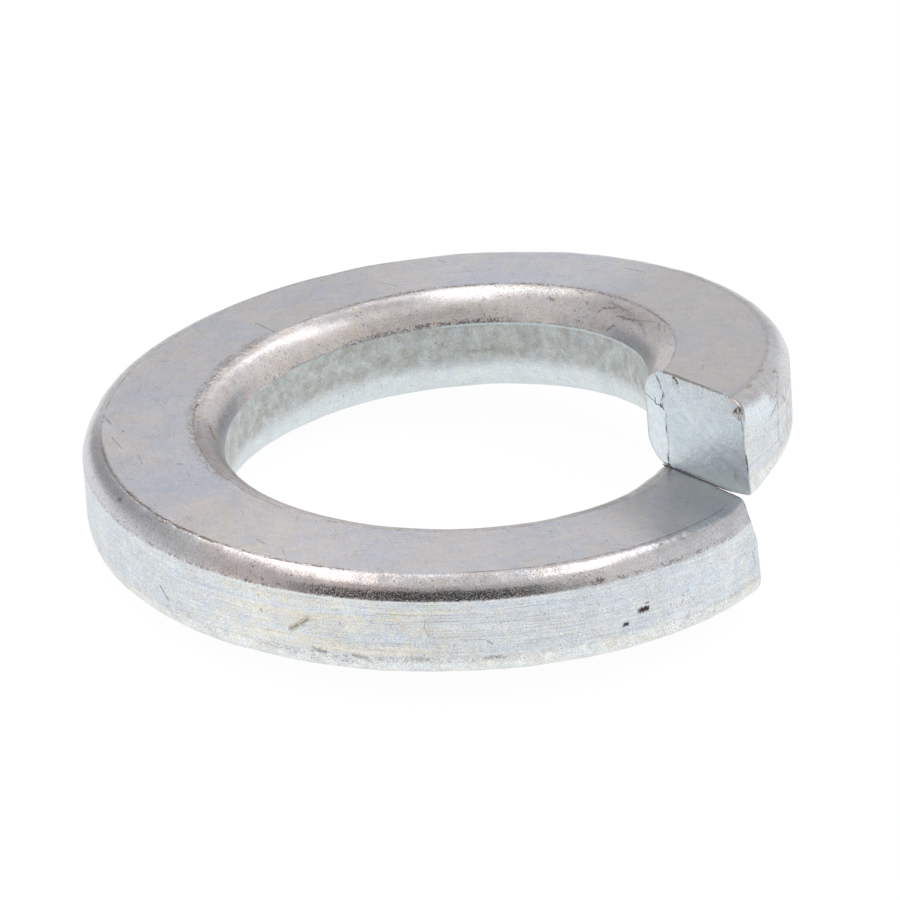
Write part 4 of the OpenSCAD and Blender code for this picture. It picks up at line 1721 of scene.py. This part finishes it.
@dataclass(frozen=True)
class ZincOnShear:
    """Zinc plate on the matt, torn faces of the cut.

    crack, and dark_side, hold (height, distance from the bore) of a line that runs up the
    raised face; tear holds (distance, height) of a line that runs across its torn strip.
    crack_size is the largest height and distance of the crack; off_face moves the lower
    face out of reach of the marks.
    """

    face: Colour = (0.7, 0.79, 0.85)
    pale: Colour = (0.8, 0.88, 0.93)
    strip: Colour = (0.85, 0.93, 1.0)
    # teal: a painted reflection, pale, at the lower corner of the raised face
    reflected_teal: Colour = (0.86, 0.99, 0.99)
    crust: Colour = (0.93, 0.955, 0.95)
    dark: Colour = (0.06, 0.055, 0.05)
    rust: Colour = (0.23, 0.17, 0.11)
    top_line: float = 3.63
    off_face: float = 100.0
    crack_width: float = 0.03
    crack_size: tuple[float, float] = (3.6, 1.2)
    crack: tuple[tuple[float, float], ...] = (
        (0.0, 0.88), (0.45, 0.9), (0.7, 0.97), (0.95, 0.98), (1.2, 1.0), (1.4, 0.93), (1.62, 0.95),
        (1.8, 0.92), (1.95, 1.01), (2.06, 0.99), (2.12, 0.9), (2.22, 0.8), (2.34, 0.86), (2.48, 0.8),
        (2.62, 0.9), (2.76, 0.92), (2.86, 0.8), (3.0, 0.77), (3.12, 0.74), (3.22, 0.64), (3.6, 0.5))
    tear: tuple[tuple[float, float], ...] = (
        (0.0, 2.48), (0.18, 2.44), (0.34, 2.36), (0.46, 2.33), (0.52, 2.22), (0.66, 2.26), (0.78, 2.2),
        (0.92, 2.12), (1.2, 2.1))
    dark_side: tuple[tuple[float, float], ...] = (
        (0.0, 4.7), (0.6, 4.72), (1.2, 4.63), (1.9, 4.62), (2.4, 4.6), (2.8, 4.56), (3.1, 4.5),
        (3.6, 4.4))
    marks: tuple[Scratch, ...] = (
        *marks_on(
            Lies.SHEAR, (0.78, 2.2, 0.76, 2.3, 0.055, 0.9, 0.8), (0.52, 2.46, 0.52, 2.26, 0.03, 0.8, 0.8),
            (1.0, 2.02, 1.01, 1.92, 0.04, 0.9, 0.8),
            (0.92, 2.8, 0.96, 2.68, 0.05, 0.45, 0.9, (0.12, 0.1, 0.1)),
            (1.48, 3.52, 1.6, 3.38, 0.09, 0.85, 0.9, (0.16, 0.13, 0.08)),
            (2.05, 2.36, 2.3, 1.92, 0.16, 0.55, 1.6, (0.93, 0.95, 0.96), 0.0),
            (1.06, 1.3, 1.08, 0.5, 0.14, 0.4, 1.4, (0.9, 0.92, 0.9), 0.0),
            (1.02, 0.42, 1.62, 0.46, 0.09, 0.5, 1.2, (0.88, 0.91, 0.9), 0.0),
            (3.96, 0.66, 4.0, 0.52, 0.08, 0.4, 0.9, (0.22, 0.2, 0.18), 0.3),
            (4.2, 3.02, 4.46, 2.9, 0.055, 0.7, 1.2), (0.62, 0.06, 0.95, 0.1, 0.045, 0.6, 1.2)),
    )

    def cracked(self, b: Mixer, across: Socket, height: Socket) -> Socket:
        """Gives the mask of the cracks that cross the raised face.

        Args:
            b: the bench.
            across: distance from the bore.
            height: height in the section.

        Returns:
            The mask.
        """
        def traced(at: Socket, value: Socket, points: Sequence[tuple[float, float]],
                   size: tuple[float, float], ragged: float = 0.1, broken: float = 0.3) -> Socket:
            """Gives the mask of one thin line."""
            away = b.minus(at, b.trace(value, points, *size))
            return b.soiled(away, self.crack_width, ragged, broken)

        tear = b.times(traced(height, across, self.tear, (1.2, 2.8), 0.05), b.ease(across, 0.8, 0.76))
        mask = b.most(traced(across, height, self.crack, self.crack_size), tear)
        side = traced(across, height, self.dark_side, (3.6, 4.8), broken=0.36)
        return b.most(mask, b.times(side, 0.8))

    def material(self, coil: SpringCoil, fx: Effects) -> Material:
        """Builds the finish.

        Args:
            coil: the coil that wears it.
            fx: the shared surface effects.

        Returns:
            The material.
        """
        b = Mixer("zinc_on_shear", fx)
        radius, height, raised = b.stored("across"), b.stored("height"), b.stored("raised")
        across = b.minus(radius, coil.section.bore_r)
        soft = b.use(fx.bloom, Place=b.place, Size=1.6, Shift=2.0)
        wide = b.use(fx.bloom, Place=b.place, Size=0.5, Shift=9.0)
        pits = b.use(fx.pitting, Place=b.place, Size=0.09, Amount=0.44)["Pits"]
        high = b.ease(height, 2.3, 3.4)
        fine = b.use(fx.mottle, Place=b.place, Size=0.05, Tint=0.14, Grey=b.plus(0.55, b.times(high, 0.5)))
        broad = b.use(fx.mottle, Place=b.place, Size=0.3, Tint=0.11, Grey=0.34)

        # pale clouds in the plate, plus painted light that makes the face paler towards its top
        pale = b.plus(b.times(soft["Cool"], 0.5), b.times(b.ease(height, 1.2, 3.2), 0.62))
        crusted = b.times(b.ease(fine["Tone"], 0.5, 0.66), b.plus(b.times(high, 0.75), 0.12))
        past_crack = b.minus(across, b.trace(height, self.crack, *self.crack_size))
        colour = b.coated(
            self.face, (pale, self.pale), (crusted, self.crust),
            (b.times(raised, b.ease(past_crack, 0.02, -0.02)), self.strip))
        colour = b.tinted(b.tinted(colour, fine["Factor"]), broad["Factor"])
        top = b.soiled(b.minus(height, self.top_line), 0.11, 0.22, 0.26)
        foot = b.soiled(height, 0.1, 0.2, 0.3)
        # painted reflection: a pale teal band along the lower edge, on the side away from the bore
        reflected_corner = b.times(b.ease(height, 0.75, 0.15), b.ease(across, 1.4, 2.4), 0.7)
        cracked = b.times(self.cracked(b, across, height), raised)
        colour = b.coated(
            colour, (b.times(pits, b.plus(0.25, b.times(high, 0.45))), self.rust),
            (b.times(top, 0.75), self.rust), (reflected_corner, self.reflected_teal),
            (b.times(foot, b.ease(across, 2.6, 1.9, 0.08, 0.8)), self.dark),
            (b.times(cracked, 0.85), self.dark))
        away = b.times(b.minus(1.0, raised), self.off_face)
        colour, depth = b.scratched(colour, b.join_xyz(across, height, away), self.marks, coil)
        depth = b.most(depth, cracked)
        relief = b.plus(b.times(b.swing(fine["Tone"], 1.6), b.plus(0.6, high)), b.swing(broad["Tone"], 1.8),
                        b.swing(wide["Cloud"], 1.2))
        at_edge = b.ease(b.stored("gather"), 0.012, 0.004)
        worn = b.times(at_edge, b.ease(height, 3.3, 3.0), b.ease(across, 4.3, 4.0))
        colour = b.blend(b.times(worn, 0.8), colour, self.crust)
        rough = b.plus(0.4, b.times(depth, 0.25), b.times(worn, 0.35))
        return b.finish(Base_Color=colour, Roughness=rough, Metallic=b.ease(worn, 0.0, 1.0, 0.8, 0.4),
                        Normal=b.bumped(relief, 0.000014))


@dataclass(frozen=True)
class ZincOnBurr:
    """Zinc on a burr: bright on the curl, dulled by soil in the slit; soil is its dirt."""

    name: str = "zinc_on_curl"
    bright: Colour = (0.68, 0.61, 0.58)
    soil: Colour = (0.1, 0.085, 0.075)

    def material(self, fx: Effects) -> Material:
        """Builds the finish.

        Args:
            fx: the shared surface effects.

        Returns:
            The material.
        """
        b = Mixer(self.name, fx)
        dirt = b.ease(b.noise(b.place, 5.0, 2.0, 0.5), 0.52, 0.62)
        colour = b.blend(b.times(dirt, 0.8), self.bright, self.soil)
        return b.finish(Base_Color=colour, Roughness=0.3, Metallic=0.9)


# ---- the studio


@dataclass(frozen=True)
class StripLamp:
    """A long soft lamp that hangs level over the table, in metres and degrees.

    right, front and up place its middle as seen from the camera's side; turn swings it
    away from the line of sight; level is the brightness of its face.
    """

    name: str
    right: float
    front: float
    up: float
    wide: float
    long: float
    turn: float
    level: float


def cleared(owner: Material | bpy.types.World) -> Bench:
    """Empties a node tree.

    Args:
        owner: the material or world that has it.

    Returns:
        A bench for the tree.
    """
    owner.use_nodes = True
    owner.node_tree.nodes.clear()
    return Bench(owner.node_tree)


@dataclass
class Studio:
    """Pale floor, soft light and the camera.

    The camera looks from azimuth and elevation, turned by roll, in degrees; its distance,
    the aim and floor_lift are millimetres. floor_up is the floor's upward direction, so
    that the washer rests on it. room is the plain level of light all round, room_right
    what it gains to the right, and behind_camera the share that it loses there.
    """

    azimuth: float = 25.2
    elevation: float = 23.597
    roll: float = -3.964
    lens: float = 320.0
    distance: float = 271.8
    aim_right: float = 0.1523
    aim_up: float = 3.388
    aim_lift: float = 0.0655
    floor_up: tuple[float, float, float] = (0.10439, -0.04376, 0.99357)
    floor_lift: float = 0.79
    floor_half: float = 0.9
    sensor: float = 36.0
    clip: tuple[float, float] = (0.01, 10.0)
    room: float = 0.785
    room_right: float = 0.11
    behind_camera: float = 0.83
    lamps: tuple[StripLamp, ...] = (
        StripLamp("left_strip", -0.14, -0.16, 0.6, 0.12, 1.0, 13.0, 2.0),
        StripLamp("right_strip", 0.31, -0.109, 0.6, 0.16, 0.72, -16.1, 2.2),
    )

    def floor(self) -> Thing:
        """Lays the pale table under the points that the washer rests on.

        Returns:
            The floor.
        """
        half = self.floor_half
        mesh = bpy.data.meshes.new("table")
        corners = [(-half, -half, 0), (half, -half, 0), (half, half, 0), (-half, half, 0)]
        mesh.from_pydata(corners, [], [(0, 1, 2, 3)])
        up = Vector(self.floor_up).normalized()
        turn = up.to_track_quat("Z", "Y").to_matrix().to_4x4()
        mesh.transform(Matrix.Translation(up * self.floor_lift * MM) @ turn)
        table = put_in_scene("table", mesh)
        finish = bpy.data.materials.new("pale_table")
        b = cleared(finish)
        path = b.put("ShaderNodeLightPath").outputs
        seen = b.most(path["Is Camera Ray"], b.most(path["Is Glossy Ray"], path["Is Transmission Ray"]))
        paper = b.blend(seen, (0.86, 0.87, 0.88), (0.09, 0.09, 0.09))
        matt = b.put("ShaderNodeBsdfDiffuse", {"Color": paper})
        glow = b.put("ShaderNodeEmission", {"Color": (1, 1, 1, 1), "Strength": b.times(seen, 0.94)})
        lit = b.put("ShaderNodeAddShader", {0: matt.outputs[0], 1: glow.outputs[0]})
        clear = b.put("ShaderNodeBsdfTransparent")
        below = b.put("ShaderNodeNewGeometry").outputs["Backfacing"]
        both = b.put("ShaderNodeMixShader", {0: below, 1: lit.outputs[0], 2: clear.outputs[0]})
        b.put("ShaderNodeOutputMaterial", {"Surface": both.outputs[0]})
        table.data.materials.append(finish)
        return table

    def camera(self) -> Thing:
        """Sets up the camera, a long lens a little above the washer.

        Returns:
            The camera, which is made the scene's own.
        """
        a, e, roll = (math.radians(x) for x in (self.azimuth, self.elevation, self.roll))
        back = Vector((math.sin(a) * math.cos(e), -math.cos(a) * math.cos(e), math.sin(e)))
        right = Vector((math.cos(a), math.sin(a), 0.0))
        up = back.cross(right)
        right, up = right * math.cos(roll) + up * math.sin(roll), up * math.cos(roll) - right * math.sin(roll)
        data = bpy.data.cameras.new("camera")
        data.lens, data.sensor_width = self.lens, self.sensor
        data.clip_start, data.clip_end = self.clip
        camera = put_in_scene("camera", data)
        spot = (right * self.aim_right + up * self.aim_up + back * self.distance) * MM
        spot.z += self.aim_lift * MM
        camera.matrix_world = Matrix.Translation(spot) @ Matrix((right, up, back)).transposed().to_4x4()
        bpy.context.scene.camera = camera
        return camera

    def level(self, right: float, front: float, up: float) -> Vector:
        """Turns a direction seen from the camera's side into the row frame, at length one."""
        a = math.radians(self.azimuth)
        return (Vector((math.cos(a), math.sin(a), 0)) * right + Vector((math.sin(a), -math.cos(a), 0)) * front
                + Vector((0, 0, up))).normalized()

    def lights(self) -> None:
        """Hangs the two strip lamps and sets the plain level of the room."""
        for strip in self.lamps:
            data = bpy.data.lights.new(strip.name, "AREA")
            data.shape, data.size, data.size_y = "RECTANGLE", strip.wide, strip.long
            data.energy = strip.level * math.pi * strip.wide * strip.long
            lamp = put_in_scene(strip.name, data)
            a = math.radians(strip.turn)
            long_way, down = self.level(-math.sin(a), math.cos(a), 0), Vector((0, 0, 1))
            turn = Matrix((long_way.cross(down), long_way, down)).transposed().to_4x4()
            middle = self.level(1, 0, 0) * strip.right + self.level(0, 1, 0) * strip.front
            lamp.matrix_world = Matrix.Translation(middle + down * strip.up) @ turn
        world = bpy.data.worlds.new("room")
        bpy.context.scene.world = world
        b = cleared(world)
        path = b.put("ShaderNodeLightPath").outputs
        way = b.vector("NORMALIZE", b.put("ShaderNodeTexCoord").outputs["Generated"])
        front = b.vector("DOT_PRODUCT", way, tuple(self.level(0, 1, 0)), 1)
        side = b.vector("DOT_PRODUCT", way, tuple(self.level(1, 0, 0)), 1)
        tone = b.plus(self.room, b.times(side, self.room_right))
        tone = b.times(tone, b.ease(front, 0.53, 0.97, 1.0, 1 - self.behind_camera))
        room = b.put("ShaderNodeBackground", {"Color": (1, 1, 1, 1), "Strength": tone})
        white = b.put("ShaderNodeBackground", {"Color": (1, 1, 1, 1), "Strength": 1.0})
        both = b.put("ShaderNodeMixShader", {
            0: path["Is Camera Ray"], 1: room.outputs[0], 2: white.outputs[0]})
        b.put("ShaderNodeOutputWorld", {"Surface": both.outputs[0]})


def main() -> None:
    """Builds the washer and its studio."""
    logging.basicConfig(level=logging.INFO, format="%(name)s: %(message)s")
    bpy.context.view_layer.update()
    scene = bpy.context.scene
    scene.view_settings.view_transform = "Standard"

    coil = SpringCoil()
    fx = Effects()
    wire, sheared = ZincOnWire().material(coil, fx), ZincOnShear().material(coil, fx)
    bright = ZincOnBurr().material(fx)
    soiled = ZincOnBurr("zinc_on_flash", (0.16, 0.145, 0.135)).material(fx)
    for piece in (coil.build(wire, sheared), CURL.build(coil, bright), FLASH.build(coil, soiled)):
        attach(piece, BODY)
        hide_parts(NODE)
        log.info("%s: %d vertices, %d faces", piece.name, len(piece.data.vertices), len(piece.data.polygons))

    studio = Studio()
    studio.floor()
    studio.camera()
    studio.lights()


if __name__ == "__main__":
    main()
